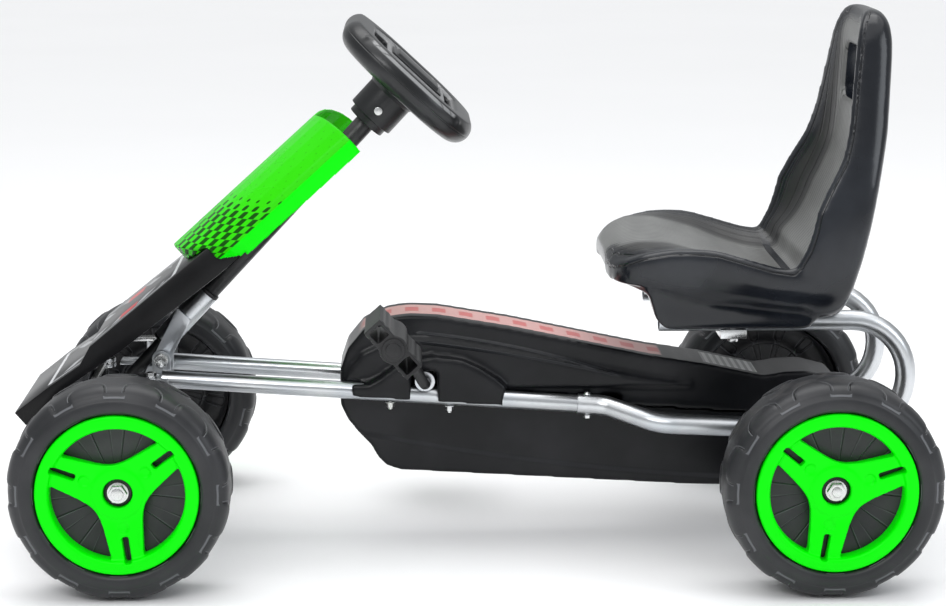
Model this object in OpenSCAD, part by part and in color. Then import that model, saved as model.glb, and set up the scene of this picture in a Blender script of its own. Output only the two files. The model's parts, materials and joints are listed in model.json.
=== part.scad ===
// Pedal go kart for one child: tube frame, pedals and chain, steered front wheels, moulded seat.
// +X points to the rear, +Y to the driver's right, +Z up; the origin is on the ground, mid-length.

/* [Overall] */
// Length from the tip of the nose to the back of the rear wheels
kart_len = 976; // [972:1:980]
// Distance between the front and rear axle lines
wheelbase = 734; // [730:1:738]
// Width over the outer faces of the front wheels
front_w = 518; // [514:1:530]
// Width over the outer faces of the rear wheels
rear_w = 534; // [530:1:544]

/* [Wheels] */
// Outer diameter of each wheel
wheel_d = 230; // [226:1:232]
// Width of each tyre
tyre_w = 80; // [78:1:82]
// Outer diameter of the green spoked insert
insert_d = 167; // [160:1:168]
// Diameter of the front stub axles
stub_d = 12; // [10:1:13]
// Diameter of the solid rear axle
axle_d = 16; // [14:1:17]
// Number of tread blocks round each shoulder
tread_count = 12; // [10:1:14]

/* [Frame] */
// Outer diameter of the front rails
rail_d = 19.2; // [18:0.1:19.3]
// Outer diameter of the rear loops
loop_d = 22; // [21.5:0.1:23]
// Wall of every tube
tube_wall = 1.2; // [1:0.1:1.3]
// Sideways distance from the middle to each front rail
rail_y = 45; // [44:0.5:46]
// Sideways distance from the middle to each rear loop
loop_y = 85; // [83:1:87]
// Bend radius of the rear loops
loop_bend = 61; // [58:0.5:61.5]
// Sideways distance from the middle to each kingpin
kingpin_y = 150; // [147:1:152]

/* [Steering] */
// Lean of the steering column from the upright
column_lean = 42.9; // [42.5:0.1:43.3]
// Outer diameter of the column tube
column_d = 22; // [20:0.5:24]
// Length of the arm on each knuckle
knuckle_arm = 40; // [39:0.5:41]
// Width over the steering wheel
hand_w = 232; // [220:1:240]
// Height of the steering wheel across its own face
hand_h = 176; // [168:1:180]
// Thickness of the steering wheel rim
hand_rim = 34; // [30:1:36]

/* [Drive] */
// Distance from the crank axle to each pedal spindle
crank_r = 76; // [72:1:80]
// Angle of the left crank arm above the rear horizontal
crank_angle = 116.5; // [110:0.5:125]
// Diameter of the bent crank rod
crank_d = 12; // [10:0.5:13]
// Teeth on the crank sprocket
crank_teeth = 26; // [24:1:26]
// Teeth on the rear axle sprocket
axle_teeth = 16; // [14:1:18]
// Half the width of the chain case above the rails
case_half = 40; // [38:0.5:41]
// Wall of every moulded cover
skin = 3; // [2.5:0.1:3.5]

/* [Seat] */
// Half the width of the seat at its side bolsters
seat_half = 145; // [140:1:150]
// Height of the top of the backrest
seat_top = 592; // [586:1:598]

/* [Hidden] */
$fn = 48;

LEFT = -1;
RIGHT = 1;
fit = 0.05;                                  // radial running clearance
gap = 0.3;                                   // clearance between neighbours that move
wheel_r = wheel_d / 2;
rear_x = kart_len / 2 - wheel_r;
front_x = rear_x - wheelbase;
nose_x = -kart_len / 2;
front_y = (front_w - tyre_w) / 2;
rear_y = (rear_w - tyre_w) / 2;
stub_r = stub_d / 2;
axle_r = axle_d / 2;
bush_r = axle_r + 1.5;                       // hole in the moulded wheel for its bushes
rail_r = rail_d / 2;
loop_r = loop_d / 2;

// the rails fall gently from the front beam to the joint with the rear loops
rail_front = [-346, 189];
rail_slope = -0.066;
joint_x = 122;
function rail_z(x) = rail_front[1] + rail_slope * (x - rail_front[0]);
loop_low = 133;
loop_high = 259;
loop_back = 476;
leg_front = 206;
beam_top = 187;
beam_size = 22;
beam_x = front_x + 16;

// column frame: its Z runs up the column, and its origin is the top of the head tube
head_top = [-285.6, 0, 275.6];
head_len = 72;
hub_low = 258;
hand_mid = 325;                              // middle of the steering wheel rim
rod_r = 7;
rod_end = -150;
pivot = [front_x - knuckle_arm, 0, 197.3];   // where the tie rods meet the column's arm
head_bolt_at = [-336.5, 204];

crank_at = [-46, 185.5];
crank_rr = crank_d / 2;
pedal_in = 119;
pedal_out = 203;
pitch = 12.7;
function pitch_r(teeth) = pitch / 2 / sin(180 / teeth);
axle_at = [rear_x, wheel_r];
case_half_low = 33;

silver = "silver";
zinc = "gainsboro";
black = [0.07, 0.07, 0.08];
dark = [0.16, 0.16, 0.17];
green = [0.05, 0.85, 0.08];

// ---- shared helpers ----

function unit(v) = v / norm(v);

// a round bar from a to b
module bar(a, b, r) {
    d = b - a;
    translate(a)
        rotate([0, acos(d[2] / norm(d)), atan2(d[1], d[0])])
            cylinder(r = r, h = norm(d));
}

// one bend of a round bar: it comes in along d1, turns at the corner p and leaves along d2
module bend(p, d1, d2, bend_r, r) {
    turn = acos(d1 * d2);
    n = unit(cross(d1, d2));
    inward = cross(n, d1);
    c = p - d1 * bend_r * tan(turn / 2) + inward * bend_r;
    multmatrix([[-inward[0], d1[0], n[0], c[0]],
                [-inward[1], d1[1], n[1], c[1]],
                [-inward[2], d1[2], n[2], c[2]],
                [0, 0, 0, 1]])
        rotate_extrude(angle = turn)
            translate([bend_r, 0])
                circle(r = r);
}

// a bar bent through the corners of a path
module bent_bar(path, bend_r, r) {
    last = len(path) - 1;
    dir = [for (i = [0:last - 1]) unit(path[i + 1] - path[i])];
    cut = [for (i = [0:last])
        i == 0 || i == last ? 0 : bend_r * tan(acos(dir[i - 1] * dir[i]) / 2)];
    union() {
        for (i = [0:last - 1])
            bar(path[i] + dir[i] * cut[i], path[i + 1] - dir[i] * cut[i + 1], r);
        for (i = [1:last - 1])
            bend(path[i], dir[i - 1], dir[i], bend_r, r);
    }
}

// a flat plate drawn in X and Z, between two distances from the middle
module plate_xz(y0, y1) {
    translate([0, y1, 0])
        rotate([90, 0, 0])
            linear_extrude(y1 - y0)
                children();
}

// turns a part drawn for the left side into one for the given side
module on_side(side) {
    if (side == LEFT) {
        children();
    } else {
        mirror([0, 1, 0])
            children();
    }
}

// a hexagon bolt head or nut whose top is at the origin, with a washer under it
module hex_head(across, high, washer) {
    rotate([180, 0, 0]) {
        cylinder(d = across / cos(30), h = high, $fn = 6);
        translate([0, 0, high])
            cylinder(d = washer, h = 1.2);
    }
}

function total(v, i = 0) = i == len(v) - 1 ? v[i] : v[i] + total(v, i + 1);
function middle(ring) = total(ring) / len(ring);
function reversed(v) = [for (i = [len(v) - 1:-1:0]) v[i]];

// twice the area of a ring as a vector, which shows the way it turns
function ring_turn(ring) =
    let (c = middle(ring), n = len(ring))
        total([for (i = [0:n - 1]) cross(ring[i] - c, ring[(i + 1) % n] - c)]);

// a closed solid through rings that have the same number of points each
module loft(rings) {
    along = middle(rings[1]) - middle(rings[0]);
    ordered = ring_turn(rings[1]) * along > 0 ? [for (r = rings) reversed(r)] : rings;
    n = len(rings[0]);
    m = len(rings);
    points = [for (ring = ordered) for (p = ring) p];
    sides = [for (j = [0:m - 2]) for (i = [0:n - 1])
        let (k = (i + 1) % n)
            each [[j * n + i, j * n + k, (j + 1) * n + k],
                  [j * n + i, (j + 1) * n + k, (j + 1) * n + i]]];
    caps = [[for (i = [n - 1:-1:0]) i], [for (i = [0:n - 1]) (m - 1) * n + i]];
    polyhedron(points = points, faces = concat(sides, caps), convexity = 6);
}

// stations of a bar bent through the corners of a path, each a point and its direction
function bent_stations(path, radii, steps) =
    let (last = len(path) - 1,
        dir = [for (i = [0:last - 1]) unit(path[i + 1] - path[i])])
    concat([[path[0], dir[0]]],
        [for (i = [1:last - 1])
            let (d1 = dir[i - 1], d2 = dir[i], turn = acos(d1 * d2), rr = radii[i - 1],
                inward = cross(unit(cross(d1, d2)), d1),
                c = path[i] - d1 * rr * tan(turn / 2) + inward * rr, n = ceil(turn / steps))
                for (k = [0:n])
                    let (a = turn * k / n)
                        [c - inward * rr * cos(a) + d1 * rr * sin(a), d1 * cos(a) + inward * sin(a)]],
        [[path[last], dir[last - 1]]]);

// a bent bar as one solid; every stretch of it stays square to some side of the flat direction
module swept(path, radii, flat, r, sides, steps) {
    loft([for (s = bent_stations(path, radii, steps))
        let (u = unit(cross(s[1], flat)), v = cross(s[1], u))
            [for (i = [0:sides - 1])
                s[0] + r * (cos(i * 360 / sides) * u + sin(i * 360 / sides) * v)]]);
}

module column_frame() {
    translate(head_top)
        rotate([0, column_lean, 0])
            children();
}

// ---- frame ----

case_bolt_x = [-84, -19];
joint_bolt_x = joint_x + 11;

module rail() {
    a = [beam_x + beam_size / 2 + gap, -rail_y, rail_z(beam_x + beam_size / 2 + gap)];
    b = [joint_x + 19, -rail_y, rail_z(joint_x + 19)];
    d = unit(b - a);
    color(silver)
        union() {
            difference() {
                bar(a, b, rail_r);
                bar(a - d, b + d, rail_r - tube_wall);
                for (x = case_bolt_x)
                    translate([x, -rail_y, rail_z(x) - rail_r - 2])
                        cylinder(r = 2.5 + fit, h = rail_r);
                translate([joint_bolt_x, -rail_y, rail_z(joint_bolt_x) - 15])
                    cylinder(r = 2.5 + fit, h = 30);
            }
            translate([-388, -rail_y - 13, beam_top])
                difference() {
                    cube([62, 26, 3.5]);
                    for (x = [16, 43])
                        translate([x, 13, -1])
                            cylinder(r = 3.3, h = 6);
                }
        }
}

function loop_path(over) = [
    [joint_x - over, -rail_y, rail_z(joint_x - over)],
    [152, -rail_y, rail_z(152)],
    [208, -loop_y, 145],
    [loop_back, -loop_y, loop_low],
    [loop_back, -loop_y, loop_high],
    [leg_front - over, -loop_y, loop_high]];

module loop_solid(r, over) {
    swept(loop_path(over), [30, 45, loop_bend, loop_bend], [0, 1, 0], r, 24, 9);
}

module loop() {
    color(silver)
        difference() {
            loop_solid(loop_r, 0);
            loop_solid(loop_r - tube_wall, 1);
            translate([joint_bolt_x, -rail_y, rail_z(joint_bolt_x) - 15])
                cylinder(r = 2.5 + fit, h = 30);
        }
}

module seat_crossbar() {
    x = leg_front + loop_r + 2;
    y = loop_y - loop_r;
    color(silver)
        difference() {
            bar([x, -y, loop_high], [x, y, loop_high], loop_r - 1.5);
            bar([x, -y - 1, loop_high], [x, y + 1, loop_high], loop_r - 1.5 - tube_wall);
        }
}

// square beam across the front with an upright kingpin tube at each end and two lugs for the column
module front_beam() {
    color(silver)
        difference() {
            union() {
                translate([beam_x - beam_size / 2, -kingpin_y, beam_top - beam_size])
                    cube([beam_size, 2 * kingpin_y, beam_size]);
                for (side = [LEFT, RIGHT])
                    translate([front_x, side * kingpin_y, 140])
                        cylinder(r = 9.5, h = 50);
                for (y = [-20.5, 17.5])
                    plate_xz(y, y + 3) {
                        translate(head_bolt_at)
                            circle(r = 10);
                        translate([head_bolt_at[0] - 10, beam_top - 1])
                            square([20, 18]);
                    }
            }
            for (side = [LEFT, RIGHT])
                translate([front_x, side * kingpin_y, 139])
                    cylinder(r = stub_r + fit, h = 52);
            translate([beam_x - beam_size / 2 + 2, -kingpin_y + 14, beam_top - beam_size + 2])
                cube([beam_size - 4, 2 * kingpin_y - 28, beam_size - 4]);
            for (side = [LEFT, RIGHT])
                translate([beam_x, side * rail_y, beam_top - beam_size - 1])
                    cylinder(r = 3 + fit, h = beam_size + 2);
            bar([head_bolt_at[0], -22, head_bolt_at[1]], [head_bolt_at[0], 22, head_bolt_at[1]], 4.1);
        }
}

module head_tube() {
    color(silver)
        difference() {
            union() {
                column_frame()
                    translate([0, 0, -head_len])
                        cylinder(r = 13, h = head_len);
                for (y = [-17, 14])
                    plate_xz(y, y + 3) {
                        translate(head_bolt_at)
                            circle(r = 10.5);
                        polygon([[-346.5, 205], [-327, 203], [-304, 248], [-318, 262]]);
                    }
                for (y = [-17, 10.5])
                    plate_xz(y, y + 6.5)
                        polygon([[-329, 233], [-309, 238], [-304, 248], [-318, 262]]);
            }
            column_frame()
                translate([0, 0, -head_len - 1])
                    cylinder(r = 11, h = head_len + 2);
            bar([head_bolt_at[0], -22, head_bolt_at[1]], [head_bolt_at[0], 22, head_bolt_at[1]], 4.1);
        }
}

module head_bushes() {
    color(black)
        column_frame()
            difference() {
                union() {
                    for (z = [-14, -head_len])
                        translate([0, 0, z])
                            cylinder(r = 10.95, h = 14);
                    translate([0, 0, 0])
                        cylinder(r = 13, h = 4);
                    translate([0, 0, -head_len - 3])
                        cylinder(r = 12, h = 3);
                }
                translate([0, 0, -head_len - 4])
                    cylinder(r = rod_r + fit, h = head_len + 10);
            }
}

module head_bolt() {
    color(zinc)
        translate([head_bolt_at[0], 0, head_bolt_at[1]])
            rotate([90, 0, 0]) {
                translate([0, 0, -24])
                    cylinder(r = 4, h = 48);
                translate([0, 0, 26])
                    cylinder(r = 7, h = 1);
                translate([0, 0, 20.5])
                    cylinder(r = 7.5, h = 5.5);
                translate([0, 0, -26.5])
                    cylinder(d = 13 / cos(30), h = 6, $fn = 6);
            }
}

// bolts that hold the rails to the beam and the rails to the loops
module frame_bolts() {
    color(zinc)
        for (side = [LEFT, RIGHT]) {
            translate([beam_x, side * rail_y, beam_top + 8.7]) {
                hex_head(10, 4, 13);
                translate([0, 0, -37])
                    cylinder(r = 3, h = 33);
                translate([0, 0, -35.7])
                    cylinder(d = 10 / cos(30), h = 5, $fn = 6);
            }
            translate([joint_bolt_x, side * rail_y, rail_z(joint_bolt_x)]) {
                translate([0, 0, loop_r + 0.35])
                    cylinder(r1 = 5, r2 = 3, h = 2.5);
                translate([0, 0, -loop_r - 4])
                    cylinder(r = 2.5, h = 2 * loop_r + 5);
                translate([0, 0, -loop_r - 4.35])
                    cylinder(d = 8 / cos(30), h = 4, $fn = 6);
            }
        }
}

// a half-round saddle on top of each rail carries the crank rod
module crank_bearings() {
    color(silver)
        difference() {
            for (side = [LEFT, RIGHT])
                bar([crank_at[0], side * rail_y - 8, crank_at[1]],
                    [crank_at[0], side * rail_y + 8, crank_at[1]], 11);
            for (side = [LEFT, RIGHT])
                bar([-80, side * rail_y, rail_z(-80)], [0, side * rail_y, rail_z(0)], rail_r);
            bar([crank_at[0], -60, crank_at[1]], [crank_at[0], 60, crank_at[1]], crank_rr + fit);
        }
}

// moulded blocks under the loops carry the rear axle
module rear_bearings() {
    color(dark)
        difference() {
            for (side = [LEFT, RIGHT])
                translate([axle_at[0] - 17, side * loop_y - 12, axle_at[1] - 15])
                    cube([34, 24, 32]);
            for (side = [LEFT, RIGHT])
                bar([208, side * loop_y, 145], [loop_back, side * loop_y, loop_low], loop_r);
            bar([axle_at[0], -110, axle_at[1]], [axle_at[0], 110, axle_at[1]], axle_r + fit);
        }
}

// ---- chain case ----

hood_top = [[-139, 195], [-131, 219], [-113, 241], [-85, 254], [-62, 256.5], [-30, 255],
    [48, 242], [198, 211], [267, 200], [329, 187], [352, 191], [377, 192], [408, 184], [428, 160]];
pan_low = [[428, 84], [410, 62], [384, 57], [240, 62], [-73, 80], [-88, 85], [-98, 95],
    [-105, 108], [-120, 124], [-131, 138], [-139, 155]];

module hood_outline(shrink) {
    polygon(concat(
        [[-139 + shrink, rail_z(-139) - shrink / 3]],
        [for (p = hood_top) [p[0] + (p[0] < -100 ? 1 : p[0] > 390 ? -1 : 0) * shrink, p[1] - shrink]],
        [[428 - shrink, rail_z(428) - shrink / 3]]));
}

module low_outline(shrink) {
    polygon(concat(
        [[428 - shrink, rail_z(428) + shrink / 3]],
        [for (p = pan_low) [p[0] + (p[0] < -80 ? 1 : p[0] > 390 ? -1 : 0) * shrink, p[1] + shrink]],
        [[-139 + shrink, rail_z(-139) + shrink / 3]]));
}

// raised cheeks that lie over the rails round the crank rod
module cheek_outline() {
    polygon([[-127, rail_z(-127) - 5], [-127, 183], [-108, 183], [-94, 191], [-78, 203], [-60, 211],
        [-38, 214], [-6, 210], [14, 201], [31, 190], [43, 180], [39, rail_z(39) - 5]]);
}

module case_upper() {
    color(black)
        difference() {
            union() {
                plate_xz(-case_half, case_half)
                    hood_outline(0);
                plate_xz(-case_half - 5, case_half + 5)
                    translate([0, -26])
                        intersection() {
                            hood_outline(0);
                            translate([-139, rail_z(-139) + 28])
                                square([560, 100]);
                        }
                plate_xz(-59, 59)
                    cheek_outline();
            }
            plate_xz(-case_half + skin, case_half - skin)
                hood_outline(skin);
            plate_xz(-case_half + skin, case_half - skin)
                polygon([[-130, rail_z(-130) - 8], [60, rail_z(60) - 8], [60, rail_z(60) + 2],
                    [-130, rail_z(-130) + 2]]);
            for (side = [LEFT, RIGHT]) {
                bar([-200, side * rail_y, rail_z(-200)], [joint_x, side * rail_y, rail_z(joint_x)],
                    rail_r + fit);
                bar([joint_x, side * rail_y, rail_z(joint_x)], [160, side * rail_y, rail_z(160)],
                    loop_r + fit);
            }
            for (side = [LEFT, RIGHT]) {
                translate([crank_at[0] - 15, side * 52 - 17, 150])
                    cube([28, 34, 48]);
                translate([150, side * 44 - 9, 140])
                    cube([20, 18, 28]);
                bar([crank_at[0], side * 30, crank_at[1]], [crank_at[0], side * 62, crank_at[1]], 12);
            }
        }
}

module case_lower() {
    color(black)
        difference() {
            plate_xz(-case_half_low, case_half_low)
                low_outline(0);
            plate_xz(-case_half_low + skin, case_half_low - skin)
                low_outline(skin);
            bar([axle_at[0], -60, axle_at[1]], [axle_at[0], 60, axle_at[1]], 14);
            bar([crank_at[0], -60, crank_at[1]], [crank_at[0], 60, crank_at[1]], 12);
        }
}

// bolts through the undersides of the rails, each with a washer and a nut under it
module case_bolts() {
    color(zinc)
        for (side = [LEFT, RIGHT], x = case_bolt_x)
            translate([x, side * rail_y, rail_z(x)]) {
                translate([0, 0, -rail_r - 6.7])
                    cylinder(d = 8 / cos(30), h = 5, $fn = 6);
                translate([0, 0, -rail_r - 1.7])
                    cylinder(r = 6, h = 1.2);
                translate([0, 0, -rail_r - 9])
                    cylinder(r = 2.5, h = rail_r + 6);
            }
}

// two closed rows of side plates, one on each side of the sprockets
module chain() {
    r1 = pitch_r(crank_teeth);
    r2 = pitch_r(axle_teeth);
    span = norm(axle_at - crank_at);
    tilt = atan2(axle_at[1] - crank_at[1], axle_at[0] - crank_at[0]);
    color(dark)
        translate([crank_at[0], 0, crank_at[1]])
            rotate([90, -tilt, 0])
                for (z = [-4, 2.6])
                    translate([0, 0, z])
                        linear_extrude(1.4)
                            difference() {
                                chain_loop(r1 + 4, r2 + 4, span);
                                chain_loop(r1 - 4, r2 - 4, span);
                            }
}

module chain_loop(r1, r2, span) {
    hull() {
        circle(r = r1);
        translate([span, 0])
            circle(r = r2);
    }
}

// ---- nose fairing and column cover ----

// each station: front edge X and Z, back edge X and Z, half width
nose_stations = [[nose_x, 162, -476, 148, 92], [-452, 190, -428, 192, 96], [-417, 214, -392, 216, 92],
    [-406, 234, -374, 228, 90], [-284, 334, -268, 308, 71], [-250, 362, -234, 336, 60]];

function nose_ring(s, inset, back) = [
    [s[0] + inset * 0.7, -s[4] + inset, s[1] - inset], [s[2] + back * 0.6, -s[4] + inset, s[3] - back],
    [s[2] + back * 0.6, s[4] - inset, s[3] - back], [s[0] + inset * 0.7, s[4] - inset, s[1] - inset]];

module nose_fairing() {
    color(black)
        union() {
            difference() {
                loft([for (s = nose_stations) nose_ring(s, 0, 0)]);
                loft([for (i = [0:5]) nose_ring(nose_stations[i] + (i == 5 ? [9, 9, 9, 9, 0] :
                    i == 0 ? [-0.5, -4, 0, 0, 0] : [0, 0, 0, 0, 0]), skin, 9)]);
            }
            for (y = [-17, 14])
                plate_xz(y, y + 3)
                    polygon([[-300, 316], [-272, 339], [-262, 318], [-278, 302], [-310, 268],
                        [-322, 278], [-344, 281]]);
        }
}

// half of the cover's arch, as distance from the middle and height over its side edges
cover_arch = [[83, 0], [80, 9], [72, 19], [58, 29], [40, 36], [20, 40], [0, 41.5]];
cover_depth = 19;                            // of the side and front walls under the arch
cover_lean = 42.4;
cover_foot = [-242, 0, 347];
cover_long = 163;                            // along the side edges

function both_sides(half) =
    concat(half, [for (i = [len(half) - 2:-1:0]) [-half[i][0], half[i][1]]]);

// the arch's section, set in by the wall and with its lower edge dropped
module cover_section(inset, drop) {
    arch = both_sides([for (p = cover_arch) [p[0] * (83 - inset) / 83, p[1] - inset]]);
    polygon(concat(arch, [for (p = reversed(arch)) [p[0], p[1] - drop]]));
}

// the cover seen along its walls: a bow in front, a shallow notch behind
module cover_plan(inset, over) {
    polygon(concat(
        [for (p = both_sides(cover_arch)) [inset - 1.7 * p[1], p[0] * (83 - inset) / 83]],
        [[cover_long - 3 + over, inset - 83], [cover_long - 22 + over, 0],
            [cover_long - 3 + over, 83 - inset]]));
}

module cover_solid(inset, drop, over) {
    intersection() {
        translate([-80, 0, 0])
            rotate([90, 0, 90])
                linear_extrude(300)
                    cover_section(inset, drop);
        translate([0, 0, -70])
            linear_extrude(140)
                cover_plan(inset, over);
    }
}

module column_cover() {
    color(green)
        difference() {
            translate(cover_foot)
                rotate([0, -cover_lean, 0])
                    difference() {
                        cover_solid(0, cover_depth, 0);
                        cover_solid(skin, cover_depth + 20, 30);
                    }
            loft([for (i = [1:5]) nose_ring(nose_stations[i], -0.5, -0.5)]);
        }
}

// ---- steering ----

module column_tube() {
    color(black)
        column_frame()
            difference() {
                translate([0, 0, 4 + gap])
                    cylinder(d = column_d, h = hub_low + 20 - 4 - gap);
                translate([0, 0, 3])
                    cylinder(r = rod_r + fit, h = 30);
                translate([0, 0, 32])
                    cylinder(d = column_d - 4, h = hub_low);
            }
}

// the rod runs down through the head tube and ends in an arm with the tie rods' pin
module column_rod() {
    foot = head_top + rod_end * [sin(column_lean), 0, cos(column_lean)];
    color(dark)
        union() {
            column_frame()
                translate([0, 0, rod_end])
                    cylinder(r = rod_r, h = 30 - rod_end);
            bar(foot, [pivot[0], 0, 177], 5);
            translate([pivot[0], 0, 173])
                cylinder(r = 4, h = 41);
            translate([pivot[0], 0, 171])
                cylinder(r = 7, h = 11);
            translate([pivot[0], 0, 210.5])
                cylinder(d = 11 / cos(30), h = 4, $fn = 6);
        }
}

module steering_hub() {
    color(black)
        column_frame()
            difference() {
                union() {
                    translate([0, 0, hub_low])
                        cylinder(r = 22, h = 8);
                    translate([0, 0, hub_low + 8])
                        cylinder(r = 27, h = 32);
                    translate([0, 0, hub_low + 40])
                        cylinder(r1 = 27, r2 = 44, h = hand_mid - 2 - hub_low - 40);
                }
                translate([0, 0, hub_low - 1])
                    cylinder(d = column_d + 2 * fit, h = 22);
                translate([0, -13, hub_low + 21])
                    rotate([90, 0, 0])
                        cylinder(r = 2 + fit, h = 20);
            }
}

module hub_screw() {
    color(zinc)
        column_frame()
            translate([0, -27, hub_low + 21])
                rotate([90, 0, 0]) {
                    cylinder(r = 4.5, h = 2.5);
                    translate([0, 0, -13])
                        cylinder(r = 2, h = 13);
                }
}

hand_corner = 54;

module steering_wheel() {
    x = (hand_h - hand_rim) / 2;
    y = (hand_w - hand_rim) / 2;
    path = [[-x, 0, 0], [-x, y, 0], [x, y, 0], [x, -y, 0], [-x, -y, 0], [-x, 0, 0]];
    color(black)
        column_frame()
            translate([0, 0, hand_mid])
                union() {
                    bent_bar(path, hand_corner, hand_rim / 2);
                    difference() {
                        translate([-x + 4, -y + 4, -2])
                            cube([2 * x - 8, 2 * y - 8, 13]);
                        translate([-64, -56, -3])
                            cube([26, 112, 15]);
                        translate([46, -56, -3])
                            cube([20, 112, 15]);
                        for (side = [LEFT, RIGHT]) {
                            translate([-28, side * 84 - 16, -3])
                                cube([68, 32, 15]);
                            for (i = [0:3])
                                translate([-31 + i * 19, side * 50 - 6, -3])
                                    cube([12, 12, 15]);
                        }
                    }
                }
}

module wheel_pad() {
    color(dark)
        column_frame()
            translate([0, 0, hand_mid + 11]) {
                translate([-32, -34, 0])
                    cube([70, 68, 2]);
                translate([-26, -26, 2])
                    cube([58, 52, 3]);
            }
}

// bent kingpin and stub axle in one, with a flat arm on top
module knuckle() {
    arm_z = 190.3 + gap;
    color(zinc)
        union() {
            bent_bar([[front_x, -kingpin_y, arm_z + 3], [front_x, -kingpin_y, wheel_r],
                [front_x, -front_y - 33.5, wheel_r]], 12, stub_r);
            translate([front_x, -kingpin_y, 132])
                cylinder(r = 9, h = 8 - gap);
            bar([front_x, -kingpin_y - 18, wheel_r], [front_x, -front_y + 38 + gap, wheel_r], 10);
            translate([pivot[0], -kingpin_y - 8, arm_z])
                cube([knuckle_arm, 16, 4]);
            for (x = [front_x, pivot[0]])
                translate([x, -kingpin_y, arm_z])
                    cylinder(r = 9, h = 4);
            translate([pivot[0], -kingpin_y, arm_z])
                cylinder(r = 4, h = 14);
            translate([pivot[0], -kingpin_y, arm_z + 12])
                cylinder(d = 11 / cos(30), h = 4, $fn = 6);
        }
}

// the outer eye turns on the knuckle's pin; the inner ring is loose round the column's pin
module tie_rod(ring_z) {
    color(zinc)
        difference() {
            union() {
                translate([pivot[0], -kingpin_y, 195.2])
                    cylinder(r = 8, h = 5.4);
                translate([pivot[0] - 4, -kingpin_y + 5, 195.2])
                    cube([8, 9, 5.4]);
                bar([pivot[0], -kingpin_y + 12, 197.9], [pivot[0], -16, 197.9], 4);
                translate([pivot[0] - 4, -20, min(ring_z, 195)])
                    cube([8, 6.6, max(ring_z + 3.6, 200.8) - min(ring_z, 195)]);
                translate([pivot[0] - 4, -20, ring_z])
                    cube([8, 10, 3.6]);
                translate([pivot[0], 0, ring_z])
                    cylinder(r = 12.5, h = 3.6);
            }
            translate([pivot[0], -kingpin_y, 190])
                cylinder(r = 4 + fit, h = 15);
            translate([pivot[0], 0, 180])
                cylinder(r = 9, h = 40);
        }
}

// ---- wheels ----

// a wheel is drawn about Z with its outer face up, then stood up on its side of the kart
module stand_wheel(x, y, side) {
    translate([x, side * y, wheel_r])
        rotate([-90 * side, 0, 0])
            children();
}

module tyre(x, y, side) {
    h = tyre_w / 2;
    w = wheel_r;
    s = insert_d / 2 + 0.5;
    color(black)
        stand_wheel(x, y, side)
            difference() {
                rotate_extrude()
                    polygon([[bush_r, 20], [bush_r, -34], [17, -34], [20, 13], [s - 5, 13],
                        [s - 4, -h + 6], [s, -h], [w - 17, -h], [w - 9, -h + 4], [w - 3, -h + 13],
                        [w, -h + 26], [w, h - 26], [w - 3, h - 13], [w - 9, h - 4], [w - 17, h],
                        [s + 4, h], [s, h - 3], [s, 20]]);
                for (i = [0:tread_count - 1], z = [-1, 1])
                    rotate([0, 0, i * 360 / tread_count + z * 90 / tread_count])
                        translate([w - 5.6, 0, z * (h - 9)])
                            rotate([0, 90 - z * 45, 0])
                                translate([0, 0, 2])
                                    cylinder(r = 15, h = 12);
                for (i = [0:tread_count - 1])
                    rotate([0, 0, (i + 0.5) * 360 / tread_count])
                        translate([w - 19, -11, h - 1.5])
                            cube([3, 22, 4]);
            }
}

// half the width of a spoke at a few distances from the axle
spoke_edge = [[12, 27.71], [15, 25.98], [19, 24], [25, 22], [33, 20.4], [44, 19], [60, 17.2], [80, 15.4]];

module insert_window(spoke) {
    difference() {
        circle(r = insert_d / 2 - 14.5);
        circle(r = 29);
        for (i = [0:2])
            rotate(spoke + i * 120)
                polygon(concat([[0, 0]], spoke_edge,
                    [for (p = reversed(spoke_edge)) [p[0], -p[1]]]));
    }
}

// the rim stands proud and the spokes fall towards the hub
module insert(x, y, side, spoke) {
    e = insert_d / 2;
    color(green)
        stand_wheel(x, y, side)
            difference() {
                rotate_extrude()
                    polygon([[15, 20], [e, 20], [e, 37.5], [e - 1.5, 39], [e - 12, 39], [e - 13.5, 37.5],
                        [e - 14.5, 34.5], [30, 29], [27, 29], [26, 30], [16, 30], [15, 29]]);
                translate([0, 0, 19])
                    linear_extrude(30)
                        insert_window(spoke);
                for (i = [0:2])
                    rotate(spoke + i * 120) {
                        translate([46, -3.5, 19])
                            cube([27, 7, 21]);
                        translate([36, 0, 28])
                            cylinder(r = 6, h = 5);
                    }
            }
}

module bushes(x, y, side, bore) {
    color(dark)
        stand_wheel(x, y, side)
            difference() {
                union() {
                    translate([0, 0, 0])
                        cylinder(r = bush_r - fit, h = 20);
                    translate([0, 0, 20])
                        cylinder(r = 14, h = 4.5);
                    translate([0, 0, -34])
                        cylinder(r = bush_r - fit, h = 20);
                    translate([0, 0, -38])
                        cylinder(r = 14, h = 4);
                }
                translate([0, 0, -50])
                    cylinder(r = bore, h = 100);
            }
}

module axle_nut(x, y, side, tip) {
    color(zinc)
        stand_wheel(x, y, side)
            difference() {
                union() {
                    translate([0, 0, 24.5 + gap])
                        cylinder(r = 11, h = 1.6);
                    translate([0, 0, 26.1 + gap])
                        cylinder(d = 17 / cos(30), h = 6, $fn = 6);
                }
                translate([0, 0, 20])
                    cylinder(r = tip, h = 30);
            }
}

module rear_hubs() {
    for (side = [LEFT, RIGHT])
        bushes(rear_x, rear_y, side, axle_r + fit);
}

module rear_nuts() {
    for (side = [LEFT, RIGHT])
        axle_nut(rear_x, rear_y, side, 5 + fit);
}

// ---- rear axle, crank and pedals ----

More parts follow.
